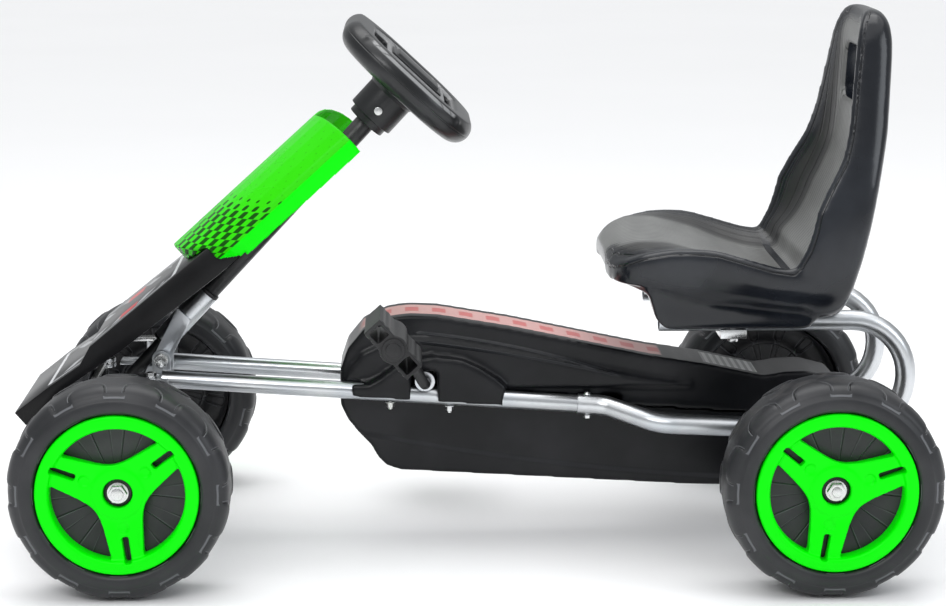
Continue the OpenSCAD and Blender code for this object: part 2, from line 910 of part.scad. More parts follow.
module rear_axle() {
    y = rear_y + 24.5;
    color(zinc)
        union() {
            bar([axle_at[0], -y, axle_at[1]], [axle_at[0], y, axle_at[1]], axle_r);
            for (side = [LEFT, RIGHT]) {
                bar([axle_at[0], side * y, axle_at[1]], [axle_at[0], side * (y + 9), axle_at[1]], 5);
                bar([axle_at[0], side * (loop_y + 12 + gap), axle_at[1]],
                    [axle_at[0], side * (loop_y + 19), axle_at[1]], 12);
            }
        }
}

// a toothed disc about Z
module sprocket(teeth, bore, boss) {
    r = pitch_r(teeth);
    difference() {
        union() {
            translate([0, 0, -1.25])
                cylinder(r = r - 3.5, h = 2.5);
            for (i = [0:teeth - 1])
                rotate(i * 360 / teeth)
                    translate([r - 4.5, 0, -1.25])
                        linear_extrude(2.5)
                            polygon([[0, -4.2], [4.2, -2], [7.4, -1], [7.4, 1], [4.2, 2], [0, 4.2]]);
            translate([0, 0, -10])
                cylinder(r = boss, h = 20);
        }
        translate([0, 0, -12])
            cylinder(r = bore, h = 24);
        if (teeth > 20)
            for (i = [0:4])
                rotate(i * 72)
                    translate([r * 0.62, 0, -3])
                        cylinder(r = r * 0.17, h = 6);
    }
}

module rear_sprocket() {
    color(dark)
        translate([axle_at[0], 0, axle_at[1]])
            rotate([90, 0, 0])
                sprocket(axle_teeth, axle_r + fit, 13);
}

module crank_sprocket() {
    color(dark)
        translate([crank_at[0], 0, crank_at[1]])
            rotate([90, 0, 0])
                sprocket(crank_teeth, crank_rr + fit, 11);
}

crank_dx = crank_r * cos(crank_angle);
crank_dz = crank_r * sin(crank_angle);
function pedal_at(side) = [crank_at[0] - side * crank_dx, crank_at[1] - side * crank_dz];

module crank_rod() {
    l = pedal_at(LEFT);
    r = pedal_at(RIGHT);
    color(zinc)
        swept([[l[0], -pedal_out + 6, l[1]], [l[0], -104, l[1]],
            [crank_at[0], -72, crank_at[1]], [crank_at[0], 72, crank_at[1]],
            [r[0], 104, r[1]], [r[0], pedal_out - 6, r[1]]], [13, 13, 13, 13],
            [sin(crank_angle), 0, -cos(crank_angle)], crank_rr, 24, 11);
}

// ribbed block with two windows through it; the spindle runs through its middle
module pedal(side) {
    at = pedal_at(side);
    mid = (pedal_in + pedal_out) / 2;
    wide = pedal_out - pedal_in;
    color(dark)
        translate([at[0], side * mid, at[1]])
            rotate([0, 48, 0])
                difference() {
                    union() {
                        translate([-33, -wide / 2, -11])
                            cube([66, wide, 22]);
                        rotate([90, 0, 0])
                            cylinder(r = 15, h = wide, center = true);
                        for (x = [-28:8:28], z = [-11.8, 10])
                            if (abs(x) > 15)
                                translate([x - 2, -wide / 2 + 3, z])
                                    cube([4, wide - 6, 1.8]);
                    }
                    for (x = [-22, 22])
                        translate([x - 7, -wide / 2 - 1, -7.5])
                            cube([14, wide + 2, 15]);
                    rotate([90, 0, 0])
                        cylinder(r = crank_rr + fit, h = wide + 2, center = true);
                }
}

// stepped cap over the outer end of the spindle
module pedal_cap(side) {
    at = pedal_at(side);
    color(black)
        union() {
            bar([at[0], side * pedal_out, at[1]], [at[0], side * (pedal_out + 2.5), at[1]], 12);
            bar([at[0], side * (pedal_out + 2), at[1]], [at[0], side * (pedal_out + 5), at[1]], 8);
        }
}

// ---- seat ----

// each station of the backrest: height, front of the bolster, back, half width, depth of the hollow
back_stations = [[262, 372, 392, 0.72, 2], [268, 360, 398, 0.86, 3], [296, 350, 408, 0.97, 8],
    [330, 346, 416, 1, 22], [346, 355, 419, 1, 26], [385, 361, 426, 0.99, 34], [410, 373, 430, 0.96, 34],
    [436, 386, 434, 0.89, 28], [481, 395, 440, 0.76, 20], [540, 401, 444, 0.6, 14],
    [572, 406, 442, 0.53, 9], [585, 411, 437, 0.46, 6], [seat_top, 416, 430, 0.36, 2]];

function back_ring(s) =
    let (z = s[0], f = s[1], b = s[2], w = seat_half * s[3], d = s[4], c = (b - f) * 0.3)
        [[f + 3, -w, z], [f, -w + 8, z], [f + d * 0.5, -w + 26, z], [f + d, -w + 44, z],
         [f + d, w - 44, z], [f + d * 0.5, w - 26, z], [f, w - 8, z], [f + 3, w, z],
         [b - c, w, z], [b, w - 14, z], [b, -w + 14, z], [b - c, -w, z]];

// each station of the pan: X, rim height, underside height, half width, half width of the underside
pan_stations = [[149, 338, 322, 0.42, 0.3], [156, 346, 311, 0.66, 0.56], [175, 352, 299, 0.84, 0.74],
    [212, 353, 290, 0.96, 0.84], [250, 348, 284, 1, 0.86], [300, 336, 278, 1, 0.86],
    [350, 326, 272, 0.99, 0.86], [392, 322, 268, 0.95, 0.84]];

function pan_ring(s) =
    let (x = s[0], r = s[1], u = s[2], w = seat_half * s[3], v = seat_half * s[4],
        d = min(18, (x - 145) * 0.35))
        [[x, -w + 5, r], [x, -w, r - 7], [x, -w + 3, r - 16], [x, -v, u], [x, v, u],
         [x, w - 3, r - 16], [x, w, r - 7], [x, w - 5, r], [x, w - 22, r - d * 0.4],
         [x, w - 44, r - d], [x, -w + 44, r - d], [x, -w + 22, r - d * 0.4]];

module seat_shell() {
    color(black)
        difference() {
            union() {
                loft([for (s = pan_stations) pan_ring(s)]);
                loft([for (s = back_stations) back_ring(s)]);
                loft([for (p = [[254, 1, 212, 362], [262, 1, 202, 370], [296, 1.02, 186, 385]])
                    [[p[2], -118 * p[1], p[0]], [p[3], -118 * p[1], p[0]],
                     [p[3], 118 * p[1], p[0]], [p[2], 118 * p[1], p[0]]]]);
            }
            for (side = [LEFT, RIGHT]) {
                translate([130, side * loop_y - 12, 240])
                    cube([330, 24, loop_high + loop_r + gap - 240]);
                bar([284, side * (loop_y + 18), 250], [284, side * (loop_y + 18), 285], 3.1);
                bar([284, side * (loop_y - 18), 250], [284, side * (loop_y - 18), 285], 3.1);
            }
            translate([140, -60, 240])
                cube([250, 120, 42]);
            translate([140, -loop_y + 5, 240])
                cube([112, 2 * loop_y - 10, 42]);
            translate([240, -loop_y + 5, 240])
                cube([28, 2 * loop_y - 10, 42]);
            back_slot();
        }
}

// opening through the upper backrest
module back_slot() {
    translate([380, 0, 0])
        rotate([90, 0, 90])
            linear_extrude(80)
                polygon([[-44, 506], [44, 506], [52, 514], [46, 540], [36, 548], [-36, 548],
                    [-46, 540], [-52, 514]]);
}

// straps under the loops' upper legs, bolted up into the seat on both sides of the tube
module seat_clamps() {
    color(zinc)
        for (side = [LEFT, RIGHT])
            difference() {
                translate([270, side * loop_y - 25, 244])
                    cube([28, 50, 9.7]);
                bar([260, side * loop_y, loop_high], [310, side * loop_y, loop_high], loop_r + gap);
                for (y = [-18, 18])
                    bar([284, side * loop_y + y, 240], [284, side * loop_y + y, 260], 3.1);
            }
}

module seat_bolts() {
    color(zinc)
        for (side = [LEFT, RIGHT], y = [-18, 18])
            translate([284, side * loop_y + y, 0]) {
                translate([0, 0, 240])
                    cylinder(d = 10 / cos(30), h = 4, $fn = 6);
                translate([0, 0, 243])
                    cylinder(r = 3, h = 37);
            }
}

rail();  // rail_left
on_side(RIGHT) rail();  // rail_right
loop();  // loop_left
on_side(RIGHT) loop();  // loop_right
seat_crossbar();
front_beam();
head_tube();
head_bushes();
head_bolt();
frame_bolts();
crank_bearings();
rear_bearings();
case_upper();
case_lower();
case_bolts();
chain();
nose_fairing();
column_cover();
column_tube();
column_rod();
steering_hub();
steering_wheel();
wheel_pad();
hub_screw();
knuckle();  // knuckle_left
on_side(RIGHT) knuckle();  // knuckle_right
tie_rod(199);  // tie_rod_left
on_side(RIGHT) tie_rod(193);  // tie_rod_right
axle_nut(front_x, front_y, LEFT, stub_r + fit);  // front_nut_left
axle_nut(front_x, front_y, RIGHT, stub_r + fit);  // front_nut_right
tyre(front_x, front_y, LEFT);  // front_left_tyre
insert(front_x, front_y, LEFT, 38);  // front_left_insert
bushes(front_x, front_y, LEFT, stub_r + fit);  // front_left_bushes
tyre(front_x, front_y, RIGHT);  // front_right_tyre
insert(front_x, front_y, RIGHT, 38);  // front_right_insert
bushes(front_x, front_y, RIGHT, stub_r + fit);  // front_right_bushes
tyre(rear_x, rear_y, LEFT);  // rear_left_tyre
insert(rear_x, rear_y, LEFT, 20);  // rear_left_insert
tyre(rear_x, rear_y, RIGHT);  // rear_right_tyre
insert(rear_x, rear_y, RIGHT, 20);  // rear_right_insert
rear_hubs();
rear_nuts();
rear_axle();
rear_sprocket();
crank_rod();
crank_sprocket();
pedal(LEFT);  // pedal_left
pedal(RIGHT);  // pedal_right
pedal_cap(LEFT);  // pedal_cap_left
pedal_cap(RIGHT);  // pedal_cap_right
seat_shell();
seat_clamps();
seat_bolts();
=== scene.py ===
# %% [markdown]
# # A pedal go kart
# The kart's steel frame, joints and mountings come from a CAD model that is already exact.
# In these cells Blender adds what a CAD model lacks: rounded moulded edges, tyre tread, the
# swollen skin of the blow-moulded seat, and finishes with grain, wear and small changes of
# colour. The first cell loads the CAD model.

import json
from math import atan2, cos, hypot, pi, radians, sin, sqrt

import bmesh
import bpy
import numpy as np
from mathutils import Matrix, Vector


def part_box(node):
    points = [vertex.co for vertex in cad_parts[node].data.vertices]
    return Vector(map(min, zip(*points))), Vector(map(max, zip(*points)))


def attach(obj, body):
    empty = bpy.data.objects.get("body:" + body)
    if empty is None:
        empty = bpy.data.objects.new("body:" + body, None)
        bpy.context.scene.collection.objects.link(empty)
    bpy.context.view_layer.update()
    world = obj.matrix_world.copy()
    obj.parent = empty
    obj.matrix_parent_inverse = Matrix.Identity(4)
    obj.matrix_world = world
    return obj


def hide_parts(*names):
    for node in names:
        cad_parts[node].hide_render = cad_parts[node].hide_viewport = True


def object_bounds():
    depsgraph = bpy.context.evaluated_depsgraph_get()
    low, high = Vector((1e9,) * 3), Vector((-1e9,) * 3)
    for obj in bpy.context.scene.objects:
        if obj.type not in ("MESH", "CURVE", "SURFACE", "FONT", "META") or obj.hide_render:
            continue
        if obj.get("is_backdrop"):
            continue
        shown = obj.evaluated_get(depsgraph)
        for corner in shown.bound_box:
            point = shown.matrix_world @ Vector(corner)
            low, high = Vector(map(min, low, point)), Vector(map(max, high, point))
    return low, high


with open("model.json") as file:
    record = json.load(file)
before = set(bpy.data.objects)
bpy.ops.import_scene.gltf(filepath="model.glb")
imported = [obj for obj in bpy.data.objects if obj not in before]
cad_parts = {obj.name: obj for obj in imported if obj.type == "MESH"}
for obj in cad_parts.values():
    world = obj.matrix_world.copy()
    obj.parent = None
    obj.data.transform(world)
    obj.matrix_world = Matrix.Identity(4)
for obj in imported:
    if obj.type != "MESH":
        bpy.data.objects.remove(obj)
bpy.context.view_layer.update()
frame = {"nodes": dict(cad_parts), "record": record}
nodes = frame["nodes"]
body_of = {name: body for body, names in frame["record"]["behaviour"]["bodies"].items() for name in names}

# %% [markdown]
# ## Shader sums
# A shader pattern is arithmetic on coordinates. Wiring every sum by hand hides the idea, so a
# small class wraps one socket and lets Python's own operators add the Math nodes.

# %% A socket that can be used in sums
class Flow:
    """One number that changes over a surface."""

    def __init__(self, tree, socket):
        self.tree, self.socket = tree, socket

    def math(self, operation, *others):
        node = self.tree.nodes.new("ShaderNodeMath")
        node.operation = operation
        for place, value in enumerate((self,) + others):
            if isinstance(value, Flow):
                self.tree.links.new(value.socket, node.inputs[place])
            else:
                node.inputs[place].default_value = value
        return Flow(self.tree, node.outputs[0])

    def turned(self, operation, other):
        node = self.tree.nodes.new("ShaderNodeMath")
        node.operation = operation
        node.inputs[0].default_value = other
        self.tree.links.new(self.socket, node.inputs[1])
        return Flow(self.tree, node.outputs[0])

    def __add__(self, other): return self.math("ADD", other)
    def __radd__(self, other): return self.math("ADD", other)
    def __sub__(self, other): return self.math("SUBTRACT", other)
    def __rsub__(self, other): return self.turned("SUBTRACT", other)
    def __mul__(self, other): return self.math("MULTIPLY", other)
    def __rmul__(self, other): return self.math("MULTIPLY", other)
    def __truediv__(self, other): return self.math("DIVIDE", other)
    def __abs__(self): return self.math("ABSOLUTE")
    def __lt__(self, other): return self.math("LESS_THAN", other)

    def sine(self): return self.math("SINE")
    def root(self): return self.math("SQRT")
    def low(self, other): return self.math("MINIMUM", other)

    def wave(self, step):
        """A triangle that goes 0, 1, 0 once in every step."""
        return (self / step).math("FRACT").math("SUBTRACT", 0.5).math("ABSOLUTE") * 2.0

    def soft(self, start, end):
        """0 below start and 1 above end, with a smooth rise between them."""
        node = self.tree.nodes.new("ShaderNodeMapRange")
        node.interpolation_type = "SMOOTHSTEP"
        self.tree.links.new(self.socket, node.inputs["Value"])
        node.inputs["From Min"].default_value = start
        node.inputs["From Max"].default_value = end
        return Flow(self.tree, node.outputs["Result"])


# %% [markdown]
# ## A finish
# Each finish is one Principled shader. The class below makes it and gives one method for every
# kind of node, so a recipe reads from top to bottom: pattern first, then colour, then relief.

# %% A finish and its tools
class Finish:
    """A material with one Principled shader and short ways to feed it."""

    def __init__(self, name, base, roughness, metallic=0.0, coat=0.0, coat_roughness=0.1, specular=0.5):
        self.material = bpy.data.materials.new(name)
        self.material.use_nodes = True
        self.material.diffuse_color = (*base, 1.0)
        self.tree = self.material.node_tree
        self.shader = next(n for n in self.tree.nodes if n.type == "BSDF_PRINCIPLED")
        for socket, value in (("Base Color", (*base, 1.0)), ("Roughness", roughness),
                              ("Metallic", metallic), ("Coat Weight", coat),
                              ("Coat Roughness", coat_roughness), ("Specular IOR Level", specular)):
            self.shader.inputs[socket].default_value = value
        self.place = self.add("ShaderNodeTexCoord", {}, {}).outputs["Object"]
        split = self.add("ShaderNodeSeparateXYZ", {}, {"Vector": self.place})
        self.x, self.y, self.z = (Flow(self.tree, split.outputs[i]) for i in range(3))

    def add(self, kind, settings, sockets):
        node = self.tree.nodes.new(kind)
        for key, value in settings.items():
            setattr(node, key, value)
        for key, value in sockets.items():
            if isinstance(value, Flow):
                value = value.socket
            if isinstance(value, bpy.types.NodeSocket):
                self.tree.links.new(value, node.inputs[key])
            else:
                node.inputs[key].default_value = value
        return node

    def noise(self, scale, detail=3.0, stretch=(1.0, 1.0, 1.0), rough=0.55):
        place = self.add("ShaderNodeMapping", {}, {"Vector": self.place, "Scale": stretch}).outputs[0]
        node = self.add("ShaderNodeTexNoise", {}, {"Vector": place, "Scale": scale, "Detail": detail,
                                                   "Roughness": rough})
        return Flow(self.tree, node.outputs[0])

    def facing(self, axis):
        """How squarely the surface faces one way: part of the true normal along that axis."""
        normal = self.add("ShaderNodeNewGeometry", {}, {}).outputs["True Normal"]
        return Flow(self.tree, self.add("ShaderNodeSeparateXYZ", {}, {"Vector": normal}).outputs[axis])

    def mixed(self, amount, first, second):
        node = self.add("ShaderNodeMix", {"data_type": "RGBA"}, {})
        for place, value in ((0, amount), (6, first), (7, second)):
            if isinstance(value, Flow):
                value = value.socket
            if isinstance(value, bpy.types.NodeSocket):
                self.tree.links.new(value, node.inputs[place])
            else:
                node.inputs[place].default_value = (*value, 1.0) if isinstance(value, tuple) else value
        return node.outputs[2]

    def colour(self, socket):
        self.tree.links.new(socket, self.shader.inputs["Base Color"])

    def roughness(self, flow):
        self.tree.links.new(flow.socket, self.shader.inputs["Roughness"])

    def relief(self, *layers):
        """Bumps laid on each other; each layer is a height from 0 to 1 and its depth in metres."""
        normal = None
        for height, depth in layers:
            sockets = {"Height": height, "Distance": depth, "Strength": 1.0}
            if normal is not None:
                sockets["Normal"] = normal
            normal = self.add("ShaderNodeBump", {}, sockets).outputs[0]
        self.tree.links.new(normal, self.shader.inputs["Normal"])


finishes = {}


# %% [markdown]
# ## Moulded plastic
# Most of the kart is polyethylene from a mould. The real thing is never one flat colour: the
# sheen drifts a little over a hand's width, the skin has a fine pebble grain from the mould, and
# handling leaves short pale scuffs. One recipe gives all of that, and each plastic then sets
# its own colours, sheen and grain.

# %% The recipe for moulded plastic
def moulded(name, base, pale, rough=(0.3, 0.45), grain=1800.0, grain_depth=0.00004, scuffs=0.25,
            coat=0.0, specular=0.5):
    made = Finish(name, base, rough[0], coat=coat, specular=specular)
    drift = made.noise(9.0, 4.0)
    fine = made.noise(grain, 2.0)
    scratch = made.noise(55.0, 6.0, (1.0, 6.0, 1.6), 0.7).soft(0.63, 0.74)
    scratch = scratch * made.noise(14.0).soft(0.5, 0.66)
    wear = scratch * scuffs
    between = tuple(b * 0.6 + p * 0.4 for b, p in zip(base, pale))
    tone = made.mixed(drift.soft(0.35, 0.7) * 0.6, base, between)
    made.tone = made.mixed(wear, tone, pale)
    made.colour(made.tone)
    made.rough = drift * (rough[1] - rough[0]) + rough[0] + wear * 0.25
    made.roughness(made.rough)
    made.layers = [(fine, grain_depth), (drift, 0.0003)]
    made.relief(*made.layers)
    finishes[name] = made
    return made


seat_plastic = moulded("seat plastic", (0.0055, 0.0068, 0.0098), (0.05, 0.056, 0.068), (0.15, 0.24),
                       1500.0, 0.00002, 0.12, specular=0.42)
case_plastic = moulded("case plastic", (0.0030, 0.0034, 0.0044), (0.04, 0.04, 0.045), (0.26, 0.36),
                       1700.0, 0.00003, 0.15, specular=0.24)
steering_plastic = moulded("steering plastic", (0.0055, 0.006, 0.007), (0.06, 0.063, 0.068), (0.30, 0.40),
                           2200.0, 0.00003, 0.15, specular=0.4)
dark_plastic = moulded("dark plastic", (0.007, 0.007, 0.008), (0.06, 0.06, 0.06), (0.36, 0.48),
                       1900.0, 0.00004, 0.2, specular=0.4)
green_plastic = moulded("green plastic", (0.0, 0.80, 0.0), (0.0, 0.92, 0.0), (0.32, 0.42),
                        1500.0, 0.00002, 0.08, specular=0.12)
fairing_plastic = moulded("fairing plastic", (0.0035, 0.0035, 0.004), (0.035, 0.035, 0.038), (0.24, 0.34),
                          1700.0, 0.00003, 0.15, specular=0.2)
print("plastics:", sorted(finishes))

# %% [markdown]
# ## Plated and painted steel
# Zinc plating is bright but not a mirror: faint streaks run along the tube, the passivation
# leaves cloudy patches that lean blue or straw, and small dull spots gather where parts rub.
# The column has powder paint, which shows a soft orange-peel skin.

# %% The recipe for plated steel
def plated(name, base, cloud, rough=(0.24, 0.38), streak=(1.0, 14.0, 14.0), spots=0.5):
    made = Finish(name, base, rough[0], metallic=1.0)
    cloudy = made.noise(16.0, 5.0)
    lines = made.noise(160.0, 4.0, streak, 0.7)
    spot = made.noise(260.0, 3.0).soft(0.66, 0.74) * made.noise(24.0).soft(0.48, 0.62) * spots
    tone = made.mixed(cloudy.soft(0.38, 0.66), base, cloud)
    made.colour(made.mixed(spot, tone, (0.22, 0.22, 0.22)))
    made.roughness(lines * 0.16 + cloudy * (rough[1] - rough[0]) + (rough[0] - 0.08) + spot * 0.2)
    made.relief((lines, 0.00003), (made.noise(900.0, 2.0), 0.00002))
    finishes[name] = made
    return made


zinc_tube = plated("zinc tube", (0.60, 0.615, 0.63), (0.52, 0.545, 0.575))
zinc_steel = plated("zinc steel", (0.66, 0.67, 0.68), (0.58, 0.585, 0.56), (0.2, 0.34), (6.0, 6.0, 6.0), 0.3)
chain_steel = plated("oiled chain steel", (0.10, 0.095, 0.09), (0.16, 0.15, 0.135), (0.3, 0.5),
                     (4.0, 4.0, 4.0), 0.6)

black_steel = Finish("black powder coat", (0.012, 0.012, 0.013), 0.38)
peel = black_steel.noise(700.0, 2.0)
rub = black_steel.noise(70.0, 5.0).soft(0.62, 0.72)
black_steel.colour(black_steel.mixed(rub * 0.4, (0.010, 0.010, 0.011), (0.06, 0.06, 0.062)))
black_steel.roughness(peel * 0.12 + rub * 0.15 + 0.30)
black_steel.relief((peel, 0.00006))
print("metals:", zinc_tube.material.name, zinc_steel.material.name, chain_steel.material.name)

# %% [markdown]
# ## Pieces made from CAD nodes
# A CAD solid has knife edges. Real mouldings and pressings have a radius that catches the
# light as a thin line, and that line is most of what makes them look solid. The helper copies
# a node's mesh, joins its loose triangles, melts flat faces together and bevels every sharp
# edge. Curved sides are then shaded smooth and real corners stay crisp.

# %% Rounding a CAD node's edges
def as_piece(shape, name, finish, body):
    mesh = bpy.data.meshes.new(name)
    shape.to_mesh(mesh)
    shape.free()
    piece = bpy.data.objects.new(name, mesh)
    bpy.context.scene.collection.objects.link(piece)
    mesh.materials.append(finish.material)
    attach(piece, body)
    return piece


def shade(shape, corner=38.0):
    for face in shape.faces:
        face.smooth = True
    for edge in shape.edges:
        edge.smooth = not (len(edge.link_faces) == 2 and edge.calc_face_angle(0.0) > radians(corner))


def joined_copy(node):
    shape = bmesh.new()
    shape.from_mesh(nodes[node].data)
    bmesh.ops.remove_doubles(shape, verts=shape.verts, dist=2e-6)
    bmesh.ops.dissolve_limit(shape, angle_limit=radians(0.6), verts=shape.verts, edges=shape.edges)
    return shape


def rounded(node, finish, radius=0.0008, segments=2, corner=38.0):
    shape = joined_copy(node)
    sharp = [e for e in shape.edges if len(e.link_faces) == 2 and e.calc_face_angle(0.0) > radians(corner)]
    if radius > 0:
        bmesh.ops.bevel(shape, geom=sharp, offset=radius, offset_type="OFFSET", segments=segments,
                        affect="EDGES", profile=0.5, material=-1, clamp_overlap=False)
    bmesh.ops.triangulate(shape, faces=[f for f in shape.faces if len(f.verts) > 4])
    shade(shape, 30.0)
    count = len(shape.faces)
    piece = as_piece(shape, node + "_rounded", finish, body_of[node])
    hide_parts(node)
    print(node, "rounded:", len(sharp), "edges,", count, "faces")


# %% Frame, steering gear and running gear
for name in ("rail_left", "rail_right", "seat_crossbar", "front_beam", "head_tube", "crank_bearings"):
    rounded(name, zinc_tube, 0.0004)
for name in ("head_bolt", "frame_bolts", "case_bolts", "knuckle_left", "knuckle_right", "tie_rod_left",
             "tie_rod_right", "front_nut_left", "front_nut_right", "rear_nuts", "rear_axle", "seat_clamps",
             "seat_bolts", "hub_screw"):
    rounded(name, zinc_steel, 0.0003)
for name in ("column_tube", "column_rod"):
    rounded(name, black_steel, 0.0004)
for name in ("rear_sprocket", "crank_sprocket", "chain"):
    rounded(name, chain_steel, 0.0)
for name in ("head_bushes", "rear_bearings", "front_left_bushes", "front_right_bushes", "rear_hubs",
             "pedal_cap_left", "pedal_cap_right"):
    rounded(name, dark_plastic, 0.0006)
for name in ("loop_left", "loop_right"):
    rounded(name, zinc_tube, 0.0, corner=50.0)
rounded("crank_rod", black_steel, 0.0, corner=50.0)

# %% [markdown]
# ## Tyres
# The wheels have hard hollow tyres, blown in a mould, with D-shaped tread blocks along both
# shoulders. The section is drawn once as a row of points, spun round the axle, and the blocks
# are raised by moving the crown's own vertices. A UV map unrolls the tyre, with turns along U
# and the way across the section along V, so the tread lines in the finish follow the blocks.

# %% The section of a tyre
WHEEL_R, BLOCKS = 0.115, 12
# A tread block: half its width round the tyre, its length across it, where the shoulder starts,
# how far it stands up, and the run of its sloping side.
BLOCK_HALF, BLOCK_LONG, SHOULDER, BLOCK_RISE, BLOCK_SLOPE = 0.0205, 0.0235, 0.0335, 0.0015, 0.0022
# The blocks fade out towards this radius, below which no vertex is moved.
BLOCK_FOOT_R, UNMOVED_R = 0.1012, 0.1005
half_section = [(0.0845, 0.0200), (0.0845, 0.0330), (0.0855, 0.0368), (0.0880, 0.0390), (0.0920, 0.0399),
                (0.0960, 0.0398), (0.0985, 0.0392), (0.0998, 0.0386), (0.1008, 0.0372), (0.1030, 0.0362),
                (0.1058, 0.0346), (0.1083, 0.0322), (0.1103, 0.0290), (0.1117, 0.0250), (0.1126, 0.0200),
                (0.1131, 0.0140), (0.1134, 0.0070), (0.1134, 0.0000)]
inner_half = [(r, -z) for r, z in reversed(half_section[2:-1])]
recess = [(0.0835, -0.0330), (0.0815, -0.0260), (0.0800, -0.0080), (0.0770, 0.0090), (0.0740, 0.0130),
          (0.0560, 0.0125), (0.0540, 0.0095), (0.0500, 0.0090), (0.0480, 0.0125), (0.0220, 0.0128),
          (0.0195, 0.0080), (0.0172, -0.0330), (0.0160, -0.0340), (0.0102, -0.0340), (0.0096, -0.0330),
          (0.0096, 0.0195), (0.0102, 0.0200)]
section = half_section + inner_half + recess


def denser(points, step):
    """The same closed row of points with extra ones, so that none are further apart than step."""
    full = []
    for a, b in zip(points, points[1:] + points[:1]):
        parts = max(1, int(hypot(b[0] - a[0], b[1] - a[1]) / step))
        full += [(a[0] + (b[0] - a[0]) * i / parts, a[1] + (b[1] - a[1]) * i / parts) for i in range(parts)]
    return full


tyre_points = denser(section[:34], 0.0019)[:-1] + section[34:]
print("tyre section:", len(tyre_points), "points")


# %% Tread blocks
def block_height(turn, r, z):
    """How far a tread block stands up at a turn (radians), a radius and a place across the tyre."""
    offset = 0.0 if z > 0 else 0.5
    u = ((turn / (2 * pi) * BLOCKS + offset) % 1.0 - 0.5) * 2 * pi * WHEEL_R / BLOCKS
    t = abs(z)
    if t < SHOULDER:
        inside = 1.0 - sqrt((u / BLOCK_HALF) ** 2 + ((SHOULDER - t) / BLOCK_LONG) ** 2)
        inside *= 0.020
    else:
        inside = BLOCK_HALF - abs(u)
    inside = min(inside, (r - BLOCK_FOOT_R) * 1.5)
    return max(0.0, min(1.0, inside / BLOCK_SLOPE))


def make_tyre(name, node, side, x, y):
    shape = bmesh.new()
    ring = [shape.verts.new((r, 0.0, z)) for r, z in tyre_points]
    edges = [shape.edges.new((a, b)) for a, b in zip(ring, ring[1:] + ring[:1])]
    bmesh.ops.spin(shape, geom=ring + edges, cent=(0, 0, 0), axis=(0, 0, 1), angle=2 * pi, steps=288,
                   use_merge=True)
    bmesh.ops.recalc_face_normals(shape, faces=shape.faces)
    for vert in shape.verts:
        r = hypot(vert.co.x, vert.co.y)
        if r > UNMOVED_R:
            lift = block_height(atan2(vert.co.y, vert.co.x), r, vert.co.z) * BLOCK_RISE
            vert.co.x *= (r + lift) / r
            vert.co.y *= (r + lift) / r
    unroll = shape.loops.layers.uv.new("unrolled")
    for face in shape.faces:
        middle = face.calc_center_median()
        base = atan2(middle.y, middle.x)
        for loop in face.loops:
            co = loop.vert.co
            turn = atan2(co.y, co.x)
            turn += round((base - turn) / (2 * pi)) * 2 * pi
            loop[unroll].uv = (turn / (2 * pi), co.z)
    shade(shape, 55.0)
    turn_up = Matrix.Rotation(radians(-90.0 * side), 4, "X")
    bmesh.ops.transform(shape, matrix=Matrix.Translation((x, y, WHEEL_R)) @ turn_up, verts=shape.verts)
    count = len(shape.faces)
    piece = as_piece(shape, name, tread_finish, body_of[node])
    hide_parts(node)
    print(name, count, "faces")


# %% [markdown]
# ## The tyres' finish
# On the tyre the rim of each block shows a thin dark line, which is painted shade and a little
# glossier, with a painted highlight as a pale line just beside it. The finish repeats the shape of a
# block in the UV map and draws those lines, and adds the dull band where the crown meets the ground.

# %% The tyres' finish
tread_finish = moulded("tyre tread", (0.014, 0.0148, 0.0168), (0.08, 0.08, 0.085), (0.34, 0.46),
                       1300.0, 0.00004, 0.3, specular=0.35)
unrolled = tread_finish.add("ShaderNodeUVMap", {"uv_map": "unrolled"}, {}).outputs[0]
unrolled = tread_finish.add("ShaderNodeSeparateXYZ", {}, {"Vector": unrolled})
turns, across = (Flow(tread_finish.tree, unrolled.outputs[i]) for i in range(2))
offset = (across < 0.0) * 0.5
u_mm = ((turns * BLOCKS + offset).math("FRACT") - 0.5) * (2000 * pi * WHEEL_R / BLOCKS)
t_mm = abs(across) * 1000.0
half_mm, long_mm, shoulder_mm = (1000 * size for size in (BLOCK_HALF, BLOCK_LONG, SHOULDER))
inset = shoulder_mm - t_mm
oval = (u_mm * u_mm * (1 / half_mm ** 2) + inset * inset * (1 / long_mm ** 2)).root()
on_crown = t_mm < shoulder_mm
# edge_line is a painted shade line on the rim of each block, lip_line a painted highlight just beside it.
edge_line = (1.0 - abs(oval - 1.0).soft(0.02, 0.075)) * on_crown
lip_line = (1.0 - abs(oval - 1.06).soft(0.0, 0.05)) * on_crown
slot = (1.0 - abs(t_mm - 36.5).soft(0.25, 0.75)) * (1.0 - abs(abs(u_mm) - 30.1).soft(11.5, 13.0))
contact = (1.0 - t_mm.soft(10.0, 26.0)) * tread_finish.noise(60.0, 5.0).soft(0.42, 0.62)
# The dark line is painted shade and the pale line beside it a painted highlight.
tread_tone = tread_finish.mixed(edge_line * 0.55, tread_finish.tone, (0.004, 0.004, 0.005))
tread_tone = tread_finish.mixed(lip_line * 0.6 + slot * 0.8, tread_tone, (0.13, 0.135, 0.145))
tread_finish.colour(tread_finish.mixed(contact * 0.18, tread_tone, (0.10, 0.095, 0.09)))
tread_finish.roughness(tread_finish.rough + contact * 0.12 - edge_line * 0.08)
tread_finish.relief((1.0 - edge_line, 0.0009), (slot, 0.0006), *tread_finish.layers)

# %% The four tyres
for corner in ("front_left", "front_right", "rear_left", "rear_right"):
    low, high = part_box(corner + "_tyre")
    side = -1 if "left" in corner else 1
    middle = (low + high) / 2
    make_tyre(corner + "_tread", corner + "_tyre", side, middle.x, middle.y)

# %% [markdown]
# ## A swollen skin
# A blow-moulded skin swells over every corner, so a bevel isn't enough. This helper cuts a
# closed shape into even cells with a voxel remesh and then smooths it, until the corners are as
# full as the real ones. It also works for small mouldings when the cells are small.

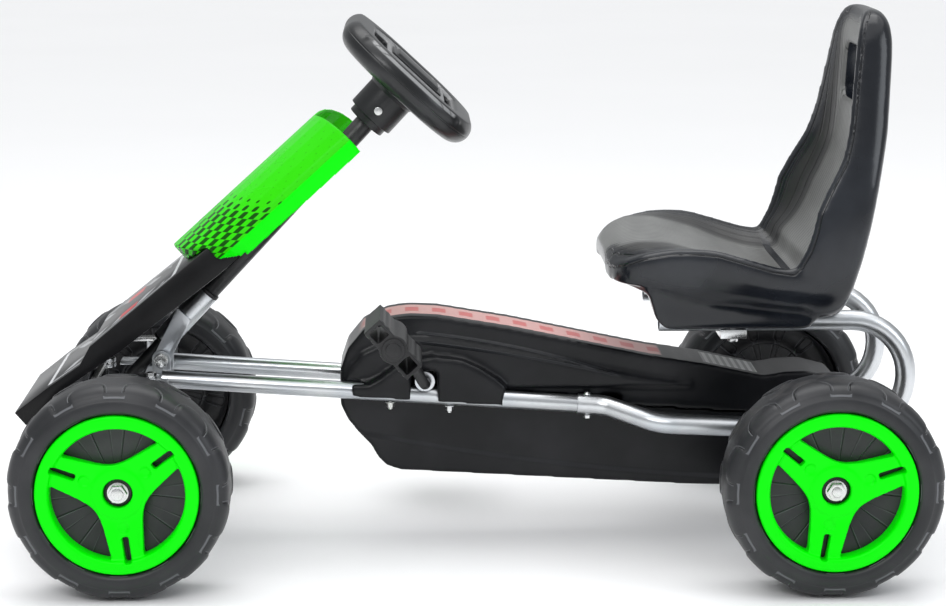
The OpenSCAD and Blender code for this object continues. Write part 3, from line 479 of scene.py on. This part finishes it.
# %% The swollen skin
def swell(piece, cell, passes, finish):
    remesh = piece.modifiers.new("even cells", "REMESH")
    remesh.mode = "VOXEL"
    remesh.voxel_size = cell
    remesh.adaptivity = 0.0
    even = bpy.data.meshes.new_from_object(piece.evaluated_get(bpy.context.evaluated_depsgraph_get()))
    piece.modifiers.clear()
    skin = bmesh.new()
    skin.from_mesh(even)
    for _ in range(passes):
        bmesh.ops.smooth_vert(skin, verts=skin.verts, factor=0.5, use_axis_x=True, use_axis_y=True,
                              use_axis_z=True)
    for face in skin.faces:
        face.smooth = True
    skin.to_mesh(piece.data)
    piece.data.materials.clear()
    piece.data.materials.append(finish.material)
    print(piece.name, "has", len(skin.faces), "cells")
    skin.free()
    bpy.data.meshes.remove(even)
    return piece


def swollen(node, finish, cell, passes):
    shape = joined_copy(node)
    bmesh.ops.triangulate(shape, faces=shape.faces)
    piece = as_piece(shape, node + "_skin", finish, body_of[node])
    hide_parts(node)
    return swell(piece, cell, passes, finish)


# %% [markdown]
# ## Seat
# The seat is one hollow blow moulding with a deep pan, side bolsters and a slot for a hand. It
# is drawn as two rows of closed outlines, one along the pan and one up the backrest. Each row
# starts as a ring of edges that is extruded and moved to the next outline, and the voxel remesh
# then welds the two together. The rows give the shape at a few places and are read in between.

# %% Outlines of the seat
pan_rows = np.array([
    # X, rim, underside, half width at the rim, half width of the underside, depth of the dish
    (149, 326, 316, 56, 46, -4), (151, 325, 311, 82, 68, -8), (157, 327, 306, 103, 86, -11),
    (168, 332, 301, 121, 99, -11), (185, 340, 295, 132, 110, -7), (212, 346, 289, 139, 118, 0),
    (235, 347, 286, 143, 121, 7), (262, 345, 282, 144, 122, 13), (290, 337, 280, 145, 123, 17),
    (320, 328, 276, 145, 123, 18), (350, 323, 272, 144, 122, 16), (385, 321, 268, 140, 119, 12),
    (396, 319, 272, 134, 112, 10)], float)
back_rows = np.array([
    # Z, front of the bolster, back, half width, depth of the hollow
    (264, 372, 388, 100, 2), (270, 362, 398, 122, 3), (282, 354, 403, 134, 5), (300, 349, 409, 141, 9),
    (330, 344, 416, 145, 20), (346, 353, 419, 145, 26), (366, 358, 423, 144, 31), (385, 361, 426, 142, 34),
    (410, 372, 430, 137, 34), (436, 386, 434, 129, 28), (460, 392, 438, 119, 23), (481, 395, 440, 110, 20),
    (510, 398, 442, 98, 16), (540, 401, 444, 87, 13), (560, 403, 444, 80, 10), (576, 407, 442, 72, 8),
    (586, 411, 437, 62, 5), (590.5, 416, 431, 48, 3)], float)


# The back leans out a little more towards its top.
back_rows[:, 1:3] += np.interp(back_rows[:, 0], [300, 400, 500, 590], [0, 4, 8, 11])[:, None]


def read_row(rows, at):
    return [float(np.interp(at, rows[:, 0], rows[:, i])) for i in range(1, rows.shape[1])]


def pan_outline(x):
    r, u, w, v, d = read_row(pan_rows, x)
    half = [(w - 9, r - 0.5), (w - 4, r), (w, r - 4), (w + 0.3, r - 16), (w - 1, r - 26),
            ((w + v) / 2 + 2, (r + u) / 2 - 14), (v + 3, u + 6), (v - 5, u)]
    inside = [(w - 15, r - 2), (w - 26, r - d * 0.45), (w - 42, r - d * 0.9), (w - 70, r - d),
              (w * 0.2, r - d)]
    ring = [(x, -y, z) for y, z in reversed(inside)] + [(x, -y, z) for y, z in half]
    ring += [(x, y, z) for y, z in reversed(half)] + [(x, y, z) for y, z in inside]
    return ring


def back_outline(z):
    f, b, w, d = read_row(back_rows, z)
    deep = b - f
    half = [(f + d, w - 46), (f + d * 0.86, w - 33), (f + d * 0.35, w - 19), (f + 1, w - 9), (f, w - 5),
            (f + 2.5, w - 1), (f + deep * 0.25, w), (f + deep * 0.6, w - 1), (b - 6, w - 5),
            (b - 1, w - 13), (b, w - 24)]
    return [(x, -y, z) for x, y in half] + [(x, y, z) for x, y in reversed(half)]


def lofted(outlines):
    """Extrudes a ring of edges from outline to outline and closes both ends."""
    shape = bmesh.new()
    ring = [shape.verts.new(Vector(p) / 1000) for p in outlines[0]]
    first = [shape.edges.new((a, b)) for a, b in zip(ring, ring[1:] + ring[:1])]
    edges = first
    for outline in outlines[1:]:
        grown = bmesh.ops.extrude_edge_only(shape, edges=edges)["geom"]
        old = ring
        link = {}
        for edge in [g for g in shape.edges if len({v in old for v in g.verts}) == 2]:
            a, b = edge.verts
            if a in old and b not in old:
                link[a] = b
            elif b in old and a not in old:
                link[b] = a
        ring = [link[v] for v in old]
        for vert, p in zip(ring, outline):
            vert.co = Vector(p) / 1000
        edges = [g for g in grown if isinstance(g, bmesh.types.BMEdge) and all(v in ring for v in g.verts)]
    bmesh.ops.contextual_create(shape, geom=first)
    bmesh.ops.contextual_create(shape, geom=edges)
    bmesh.ops.recalc_face_normals(shape, faces=shape.faces)
    return shape


def dense_rows(rows, count):
    return np.interp(np.linspace(0, len(rows) - 1, count), range(len(rows)), rows[:, 0])


print("seat outlines:", len(pan_outline(250)), "points round the pan,", len(back_outline(400)),
      "round the back")

# %% Build the seat
seat_shape = lofted([pan_outline(x) for x in dense_rows(pan_rows, 34)])
# The block under the pan: for each outline its share of the full width, its Z, its front and its back.
BASE_HALF = 118
base_rows = ((0.98, 255, 212, 362), (1, 257, 209, 366), (1, 266, 200, 372), (1, 300, 190, 385))
base = [[(x, y * BASE_HALF * share, z) for x, y in ((front, -1), (back, -1), (back, 1), (front, 1))]
        for share, z, front, back in base_rows]
for extra in ([back_outline(z) for z in dense_rows(back_rows, 40)], base):
    other = lofted(extra)
    mesh = bpy.data.meshes.new("seat half")
    other.to_mesh(mesh)
    other.free()
    seat_shape.from_mesh(mesh)
    bpy.data.meshes.remove(mesh)
bmesh.ops.triangulate(seat_shape, faces=[f for f in seat_shape.faces if len(f.verts) > 4])
seat = as_piece(seat_shape, "seat_skin", seat_plastic, "seat")
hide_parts("seat_shell")


def cutter(name, boxes):
    """A helper shape of closed boxes, to be taken out of a piece."""
    shape = bmesh.new()
    for corners in boxes:
        made = bmesh.ops.create_cube(shape, size=1.0)["verts"]
        (x0, y0, z0), (x1, y1, z1) = corners
        bmesh.ops.scale(shape, vec=(x1 - x0, y1 - y0, z1 - z0), verts=made)
        bmesh.ops.translate(shape, vec=((x0 + x1) / 2, (y0 + y1) / 2, (z0 + z1) / 2), verts=made)
    mesh = bpy.data.meshes.new(name)
    shape.to_mesh(mesh)
    shape.free()
    made = bpy.data.objects.new(name, mesh)
    bpy.context.scene.collection.objects.link(made)
    return made


def cut(piece, tool):
    """Takes the tool's shape out of the piece for good."""
    step = piece.modifiers.new("cut", "BOOLEAN")
    step.operation = "DIFFERENCE"
    step.object = tool
    step.solver = "EXACT"
    step.use_self = True
    result = bpy.data.meshes.new_from_object(piece.evaluated_get(bpy.context.evaluated_depsgraph_get()))
    piece.modifiers.clear()
    piece.data = result
    bpy.data.objects.remove(tool)


remesh = seat.modifiers.new("weld", "REMESH")
remesh.mode = "VOXEL"
remesh.voxel_size = 0.004
welded = bpy.data.meshes.new_from_object(seat.evaluated_get(bpy.context.evaluated_depsgraph_get()))
seat.modifiers.clear()
seat.data = welded
slot_shape = bmesh.new()
trapezoid = [(-0.050, 0.488), (0.050, 0.488), (0.058, 0.496), (0.047, 0.540), (0.038, 0.548),
             (-0.038, 0.548), (-0.047, 0.540), (-0.058, 0.496)]
face = slot_shape.faces.new([slot_shape.verts.new((0.37, y, z)) for y, z in trapezoid])
pushed = bmesh.ops.extrude_face_region(slot_shape, geom=[face])["geom"]
bmesh.ops.translate(slot_shape, vec=(0.1, 0, 0),
                    verts=[g for g in pushed if isinstance(g, bmesh.types.BMVert)])
bmesh.ops.recalc_face_normals(slot_shape, faces=slot_shape.faces)
slot_mesh = bpy.data.meshes.new("slot")
slot_shape.to_mesh(slot_mesh)
slot_shape.free()
slot_tool = bpy.data.objects.new("slot", slot_mesh)
bpy.context.scene.collection.objects.link(slot_tool)
cut(seat, slot_tool)
# Room for the two rails that the seat slides on, and for the crossbar and the clamps between them.
tube_room = [((0.13, -0.0973, 0.24), (0.46, -0.0727, 0.2705)), ((0.13, 0.0727, 0.24), (0.46, 0.0973, 0.2705))]
cross_room = [((0.13, -0.082, 0.24), (0.267, 0.082, 0.285)), ((0.255, -0.060, 0.24), (0.395, 0.060, 0.280))]
cut(seat, cutter("tube room", tube_room))
cut(seat, cutter("cross room", cross_room))
swell(seat, 0.0030, 5, seat_plastic)

# %% [markdown]
# ## Rim, seam, rows and painted reflection on the seat
# The seat's seam runs round the pan and up both bolsters, rows of fine lines run along the
# inside, and the inside also gets a painted reflection, a lighter grey. All of them follow the shape
# rather than the axes, so each vertex is told how far it lies from the rim line, how far across the
# seat it is, and whether it looks inwards.

# %% Tell the seat's vertices where they are
def rim_line(side):
    pan = [(x, side * (read_row(pan_rows, x)[2] - 4), read_row(pan_rows, x)[0])
           for x in np.linspace(150, 340, 60)]
    back = [(read_row(back_rows, z)[0] + 0.5, side * (read_row(back_rows, z)[2] - 5), z)
            for z in np.linspace(330, 590, 80)]
    return np.array(pan + back) / 1000


rims = np.vstack([rim_line(-1), rim_line(1)])
over_top = np.array([(416, y, 591) for y in np.linspace(-48, 48, 20)]) / 1000
rims = np.vstack([rims, over_top])
mesh = seat.data
places = np.empty(len(mesh.vertices) * 3, np.float32)
mesh.vertices.foreach_get("co", places)
places = places.reshape(-1, 3)
normals = np.array([v.normal for v in mesh.vertices], float)
rim_gap = np.sqrt(((places[:, None, :] - rims[None, :, :]) ** 2).sum(-1)).min(1)
in_pan = places[:, 0] < 0.345
width = np.where(in_pan, np.interp(places[:, 0] * 1000, pan_rows[:, 0], pan_rows[:, 3]),
                 np.interp(places[:, 2] * 1000, back_rows[:, 0], back_rows[:, 3])) / 1000
across = places[:, 1] / width
inner = np.where(in_pan, normals[:, 2] > 0.25, normals[:, 0] < -0.25) & (np.abs(across) < 0.985)
for label, values in (("rim_gap", rim_gap), ("across", across), ("inner", inner.astype(float))):
    layer = mesh.attributes.new(label, "FLOAT", "POINT")
    layer.data.foreach_set("value", values.astype(np.float32))
print("seat:", len(mesh.vertices), "vertices,", int(inner.sum()), "look inwards")

# %% The seat's finish
def felt(finish, label):
    node = finish.add("ShaderNodeAttribute", {"attribute_name": label}, {})
    return Flow(finish.tree, node.outputs["Fac"])


gap, side_way, inward = (felt(seat_plastic, label) for label in ("rim_gap", "across", "inner"))
seam = 1.0 - abs(gap - 0.0105).soft(0.0006, 0.0020)
outer_seam = 1.0 - abs(gap - 0.0065).soft(0.0004, 0.0016)
rows = (side_way * 15.0).wave(1.0).soft(0.72, 0.95) * inward * gap.soft(0.012, 0.016)
# Painted reflection: the inward faces get a lighter grey, standing in for the bright studio seen at a grazing
# angle, lightest across the middle of the seat.
painted_sheen_field = inward.soft(0.35, 0.75) * gap.soft(0.012, 0.024)
middle = painted_sheen_field * (1.0 - abs(side_way).soft(0.56, 0.72))
# Noise makes the painted reflection patchy.
sheen_patches = seat_plastic.noise(30.0, 5.0, (1.0, 0.4, 1.0)).soft(0.35, 0.75)
# Two painted reflections on the inner faces: a dark grey over the whole inner field and a light grey across
# its middle.
base_tone = seat_plastic.mixed(painted_sheen_field * (sheen_patches * 0.35 + 0.65), seat_plastic.tone, (0.034, 0.034, 0.033))
base_tone = seat_plastic.mixed(middle * (sheen_patches * 0.30 + 0.70), base_tone, (0.185, 0.187, 0.182))
base_tone = seat_plastic.mixed(rows * 0.75, base_tone, (0.010, 0.010, 0.010))
seat_plastic.colour(seat_plastic.mixed((seam * inward + outer_seam * (1.0 - inward)) * 0.7, base_tone,
                                       (0.006, 0.006, 0.007)))
seat_plastic.roughness(seat_plastic.rough + painted_sheen_field * 0.12)
seat_plastic.relief((1.0 - seam * inward - outer_seam * (1.0 - inward), 0.0009), (1.0 - rows, 0.0003),
                    *seat_plastic.layers)

# %% [markdown]
# ## Spoked inserts
# Each wheel has a bright green insert with three spokes. The CAD shape is right, so it keeps
# its place and gets the soft edges of a moulding.

# %% The four inserts
# A button's distance from the axle, its radius and how far it stands up.
BUTTON_AT, BUTTON_R, BUTTON_RISE = 0.036, 0.0046, 0.0026


def raise_buttons(piece, corner, first):
    """Lifts a small dome in each of the three ringed dimples."""
    low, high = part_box(corner + "_insert")
    centre = (Vector(low) + Vector(high)) / 2
    side = -1.0 if centre.y < 0 else 1.0
    raised = 0
    for vert in piece.data.vertices:
        if side * (vert.co.y - centre.y) < 0.0:
            continue
        for i in range(3):
            turn = radians(first + 120 * i)
            gap = hypot(vert.co.x - centre.x - BUTTON_AT * cos(turn),
                        vert.co.z - centre.z - BUTTON_AT * sin(turn))
            if gap < BUTTON_R:
                vert.co.y += side * BUTTON_RISE * (1.0 - (gap / BUTTON_R) ** 2)
                raised += 1
    return raised


for corner, first in (("front_left", 38), ("front_right", 38), ("rear_left", 20), ("rear_right", 20)):
    made = swollen(corner + "_insert", green_plastic, 0.0011, 2)
    print(corner, "buttons:", raise_buttons(made, corner, first), "points lifted")

# %% [markdown]
# ## Steering wheel
# The wheel is one moulding too: a fat rim that runs into a flat centre with square holes.

# %% The steering wheel, its pad and hub
wheel_finish = moulded("steering wheel plastic", (0.0055, 0.006, 0.007), (0.06, 0.063, 0.068),
                       (0.24, 0.34), 2200.0, 0.00003, 0.15, specular=0.45)
lean = radians(42.9)
wheel_low, wheel_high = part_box("steering_wheel")
wheel_x, wheel_z = ((wheel_low[i] + wheel_high[i]) / 2 for i in (0, 2))
raised = (wheel_finish.x - wheel_x) * sin(lean) + (wheel_finish.z - wheel_z) * cos(lean)
slope = (wheel_finish.x - wheel_x) * cos(lean) - (wheel_finish.z - wheel_z) * sin(lean)
face_zone = raised.soft(0.0085, 0.0100) * (1.0 - raised.soft(0.0120, 0.0128))
face_zone = face_zone * (1.0 - abs(slope).soft(0.056, 0.060))
ribs = wheel_finish.y.wave(0.006).soft(0.70, 0.92) * face_zone
band = 1.0 - abs(raised).soft(0.0004, 0.0012)
wheel_finish.colour(wheel_finish.mixed(face_zone * (1.0 - ribs * 0.5), wheel_finish.tone,
                                       (0.22, 0.222, 0.225)))
wheel_finish.roughness(wheel_finish.rough + face_zone * 0.15)
wheel_finish.relief((1.0 - band, 0.0006), (1.0 - ribs, 0.0004), *wheel_finish.layers)
steering = swollen("steering_wheel", wheel_finish, 0.0019, 3)
# The driver's side of the rim is pressed flat above this height, so that the panel lies just below it.
flat_at, pressed = 0.0135, 0.85
for vert in steering.data.vertices:
    proud = (vert.co.x - wheel_x) * sin(lean) + (vert.co.z - wheel_z) * cos(lean) - flat_at
    if proud > 0.0:
        vert.co.x -= pressed * proud * sin(lean)
        vert.co.z -= pressed * proud * cos(lean)
rounded("wheel_pad", steering_plastic, 0.0015, 3)
rounded("steering_hub", steering_plastic, 0.0010, 3)

# %% [markdown]
# ## Covers
# The chain case, the nose fairing and the green column cover are thin mouldings with plain,
# flowing outlines. Their edges get the radius of the mould.

# %% The green cover, with its printed checks
cover_finish = moulded("green cover", (0.0, 0.80, 0.0), (0.0, 0.92, 0.0), (0.28, 0.38),
                       1500.0, 0.00002, 0.05, specular=0.14)
cover_lean, foot_x, foot_z = radians(42.4), -0.242, 0.347
lean_x, lean_z = cos(cover_lean), sin(cover_lean)
from_x, from_z = cover_finish.x - foot_x, cover_finish.z - foot_z
over = from_z * lean_x - from_x * lean_z
half_foot, arch = 0.083, 0.0415
far_out = abs(cover_finish.y) / half_foot
turn = (over / arch).math("ARCTAN2", far_out)
printed = over.soft(0.0010, 0.0022) * (1.0 - from_z.soft(0.150, 0.170))
fade = (cover_finish.z - 0.372).soft(0.0, 0.024)
check_tall, check_turn = 0.0074, 0.105
checks = (cover_finish.z * (pi / check_tall)).sine() * (turn * (pi / check_turn)).sine()
checks = (checks - fade).soft(-0.08, 0.08)
checks = checks * printed * (1.0 - turn.soft(1.15, 1.45) * 0.7)
cover_tone = cover_finish.mixed(printed * 0.8, cover_finish.tone, (0.035, 0.56, 0.0))
cover_finish.colour(cover_finish.mixed(checks * 0.95, cover_tone, (0.003, 0.040, 0.001)))
cover_finish.roughness(cover_finish.rough - printed * 0.06)
cover_finish.relief((printed, 0.0002), *cover_finish.layers)
swollen("column_cover", cover_finish, 0.0013, 2)

# %% The nose fairing, with plain printed lines
half = (fairing_plastic.x + 0.476) * -0.115 + 0.0925
edge = abs(fairing_plastic.y) - half
top = fairing_plastic.facing(2).soft(0.15, 0.35)
run = fairing_plastic.x
outline = 1.0 - abs(edge + 0.010).soft(0.0014, 0.0026)
inner_line = 1.0 - abs(edge + 0.0165).soft(0.0006, 0.0014)
inside = 1.0 - (edge + 0.010).soft(-0.001, 0.001)
ends = run.soft(-0.452, -0.450) * (1.0 - run.soft(-0.318, -0.316))
cross = (1.0 - abs(run + 0.451).soft(0.0016, 0.003) + (1.0 - abs(run + 0.317).soft(0.0016, 0.003))) * inside
lines = ((outline + inner_line * 0.6) * ends + cross).low(1.0) * top
red = run.soft(-0.378, -0.376) * (1.0 - run.soft(-0.360, -0.358))
red = red * (1.0 - abs(edge + 0.036).soft(0.013, 0.015)) * top
bars = (run + edge * 0.4).wave(0.026).soft(0.52, 0.60) * (1.0 - abs(edge + 0.036).soft(0.011, 0.013)) * top
bars = bars * run.soft(-0.440, -0.438) * (1.0 - run.soft(-0.330, -0.328)) * (1.0 - red)
printed_tone = fairing_plastic.mixed(lines * 0.9 + bars * 0.55, fairing_plastic.tone, (0.62, 0.63, 0.65))
fairing_plastic.colour(fairing_plastic.mixed(red * 0.9, printed_tone, (0.55, 0.006, 0.012)))
fairing_plastic.roughness(fairing_plastic.rough - lines * 0.08)
rounded("nose_fairing", fairing_plastic, 0.0012, 2)

# %% The chain case, with its ridges, printed strip and label
run, height = case_plastic.x, case_plastic.z
ridge_one = height - (run * run * -0.537 - run * 0.156 + 0.2310)
ridge_two = height - (run * run * -0.260 - run * 0.1445 + 0.2211)
along_ridges = run.soft(-0.060, -0.040) * (1.0 - run.soft(0.150, 0.172))
leaf = (1.0 - ridge_one.soft(-0.0015, 0.0010)) * ridge_two.soft(-0.0010, 0.0015) * along_ridges
ridge_lines = (1.0 - abs(ridge_one).soft(0.0006, 0.0024)) + (1.0 - abs(ridge_two).soft(0.0006, 0.0024))
ridge_lines = ridge_lines * along_ridges
crease = height - (run * run * 0.185 - run * 0.162 + 0.1022)
crease_line = (1.0 - abs(crease).soft(0.0010, 0.0040)) * run.soft(-0.100, -0.070)
top = case_plastic.facing(2).soft(0.35, 0.60)
off_middle = abs(case_plastic.y)
pink = top * run.soft(-0.120, -0.110) * (1.0 - run.soft(0.214, 0.218))
pink = pink * (1.0 - off_middle.soft(0.024, 0.0255))
dashes = run.wave(0.030).soft(0.45, 0.55) * (1.0 - off_middle.soft(0.010, 0.012))
label = top * run.soft(0.262, 0.264) * (1.0 - run.soft(0.322, 0.324)) * (1.0 - off_middle.soft(0.026, 0.027))
stripes = run.wave(0.008).soft(0.45, 0.6) * 0.5
case_tone = case_plastic.mixed(pink * 0.92, case_plastic.tone, (0.70, 0.40, 0.38))
case_tone = case_plastic.mixed(pink * dashes * 0.7, case_tone, (0.55, 0.05, 0.05))
case_tone = case_plastic.mixed(label * (1.0 - stripes), case_tone, (0.72, 0.72, 0.71))
# The ridges and the crease get a painted highlight: a paler blue-grey line along each.
case_plastic.colour(case_plastic.mixed(ridge_lines * 0.25 + crease_line * 0.12, case_tone,
                                       (0.10, 0.105, 0.115)))
case_plastic.relief((leaf, 0.0030), (crease.soft(-0.004, 0.004), 0.0030), (ridge_lines, 0.0012),
                    *case_plastic.layers)
swollen("case_upper", case_plastic, 0.0026, 3)
swollen("case_lower", case_plastic, 0.0026, 3)

# %% [markdown]
# ## Pedals
# A pedal is a ribbed block with windows, and its ribs are what a shoe grips.

# %% The pedals
for name in ("pedal_left", "pedal_right"):
    swollen(name, dark_plastic, 0.0010, 2)

# %% [markdown]
# ## Floor, light and camera
# A pale floor fills the view. Large soft lamps stand above and beside the kart, which gives
# long smooth reflections on the tubes and the seat and only a light shadow below.

# %% Floor
floor_shape = bmesh.new()
bmesh.ops.create_grid(floor_shape, x_segments=2, y_segments=2, size=30.0)
floor_mesh = bpy.data.meshes.new("floor")
floor_shape.to_mesh(floor_mesh)
floor_shape.free()
floor = bpy.data.objects.new("floor", floor_mesh)
bpy.context.scene.collection.objects.link(floor)
floor_finish = Finish("floor paper", (0.93, 0.93, 0.935), 0.6, specular=0.15)
floor_tone = floor_finish.noise(1.2, 2.0)
floor_finish.colour(floor_finish.mixed(floor_tone, (0.92, 0.92, 0.925), (0.95, 0.95, 0.955)))
floor_mesh.materials.append(floor_finish.material)
floor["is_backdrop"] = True

# %% Light
scene = bpy.context.scene
scene.view_settings.view_transform = "Standard"
world = bpy.data.worlds.new("studio")
scene.world = world
world.use_nodes = True
world.node_tree.nodes["Background"].inputs["Color"].default_value = (0.96, 0.98, 1.0, 1.0)
world.node_tree.nodes["Background"].inputs["Strength"].default_value = 0.50


def lamp(name, place, aim, size, power, tint=(1.0, 1.0, 1.0)):
    data = bpy.data.lights.new(name, "AREA")
    data.shape = "RECTANGLE"
    data.size, data.size_y = size
    data.energy = power
    data.color = tint
    made = bpy.data.objects.new(name, data)
    scene.collection.objects.link(made)
    made.location = place
    made.rotation_euler = (Vector(aim) - Vector(place)).to_track_quat("-Z", "Y").to_euler()


lamp("top softbox", (0.0, 0.3, 2.4), (0, 0, 0.1), (2.6, 1.6), 26)
lamp("front softbox", (-0.9, -2.3, 1.9), (0.1, 0, 0.3), (1.8, 0.7), 24)
lamp("right softbox", (2.3, -1.3, 1.4), (0.1, 0, 0.3), (1.0, 1.4), 14, (0.90, 0.95, 1.0))
sky_data = bpy.data.lights.new("ceiling", "SUN")
sky_data.energy = 1.6
sky_data.angle = radians(95)
ceiling = bpy.data.objects.new("ceiling", sky_data)
scene.collection.objects.link(ceiling)
ceiling.location = (0.0, 0.0, 3.0)

# %% Camera
yaw, pitch, roll = radians(1.743), radians(11.16), radians(0.114)
ahead = Vector((sin(yaw) * cos(pitch), cos(yaw) * cos(pitch), -sin(pitch)))
level = Vector((cos(yaw), -sin(yaw), 0.0))
above = level.cross(ahead)
right = level * cos(roll) + above * sin(roll)
up = above * cos(roll) - level * sin(roll)
camera_data = bpy.data.cameras.new("camera")
camera_data.lens = 91.8
camera_data.sensor_width = 36.0
camera = bpy.data.objects.new("camera", camera_data)
scene.collection.objects.link(camera)
camera_at = Vector((-0.0719, -2.6281, 0.7813))
camera.matrix_world = Matrix((
    (right.x, up.x, -ahead.x, camera_at.x),
    (right.y, up.y, -ahead.y, camera_at.y),
    (right.z, up.z, -ahead.z, camera_at.z),
    (0, 0, 0, 1)))
scene.camera = camera

# %% Measure and finish
low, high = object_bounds()
print("full box", [round(v, 4) for v in (*low, *high)])
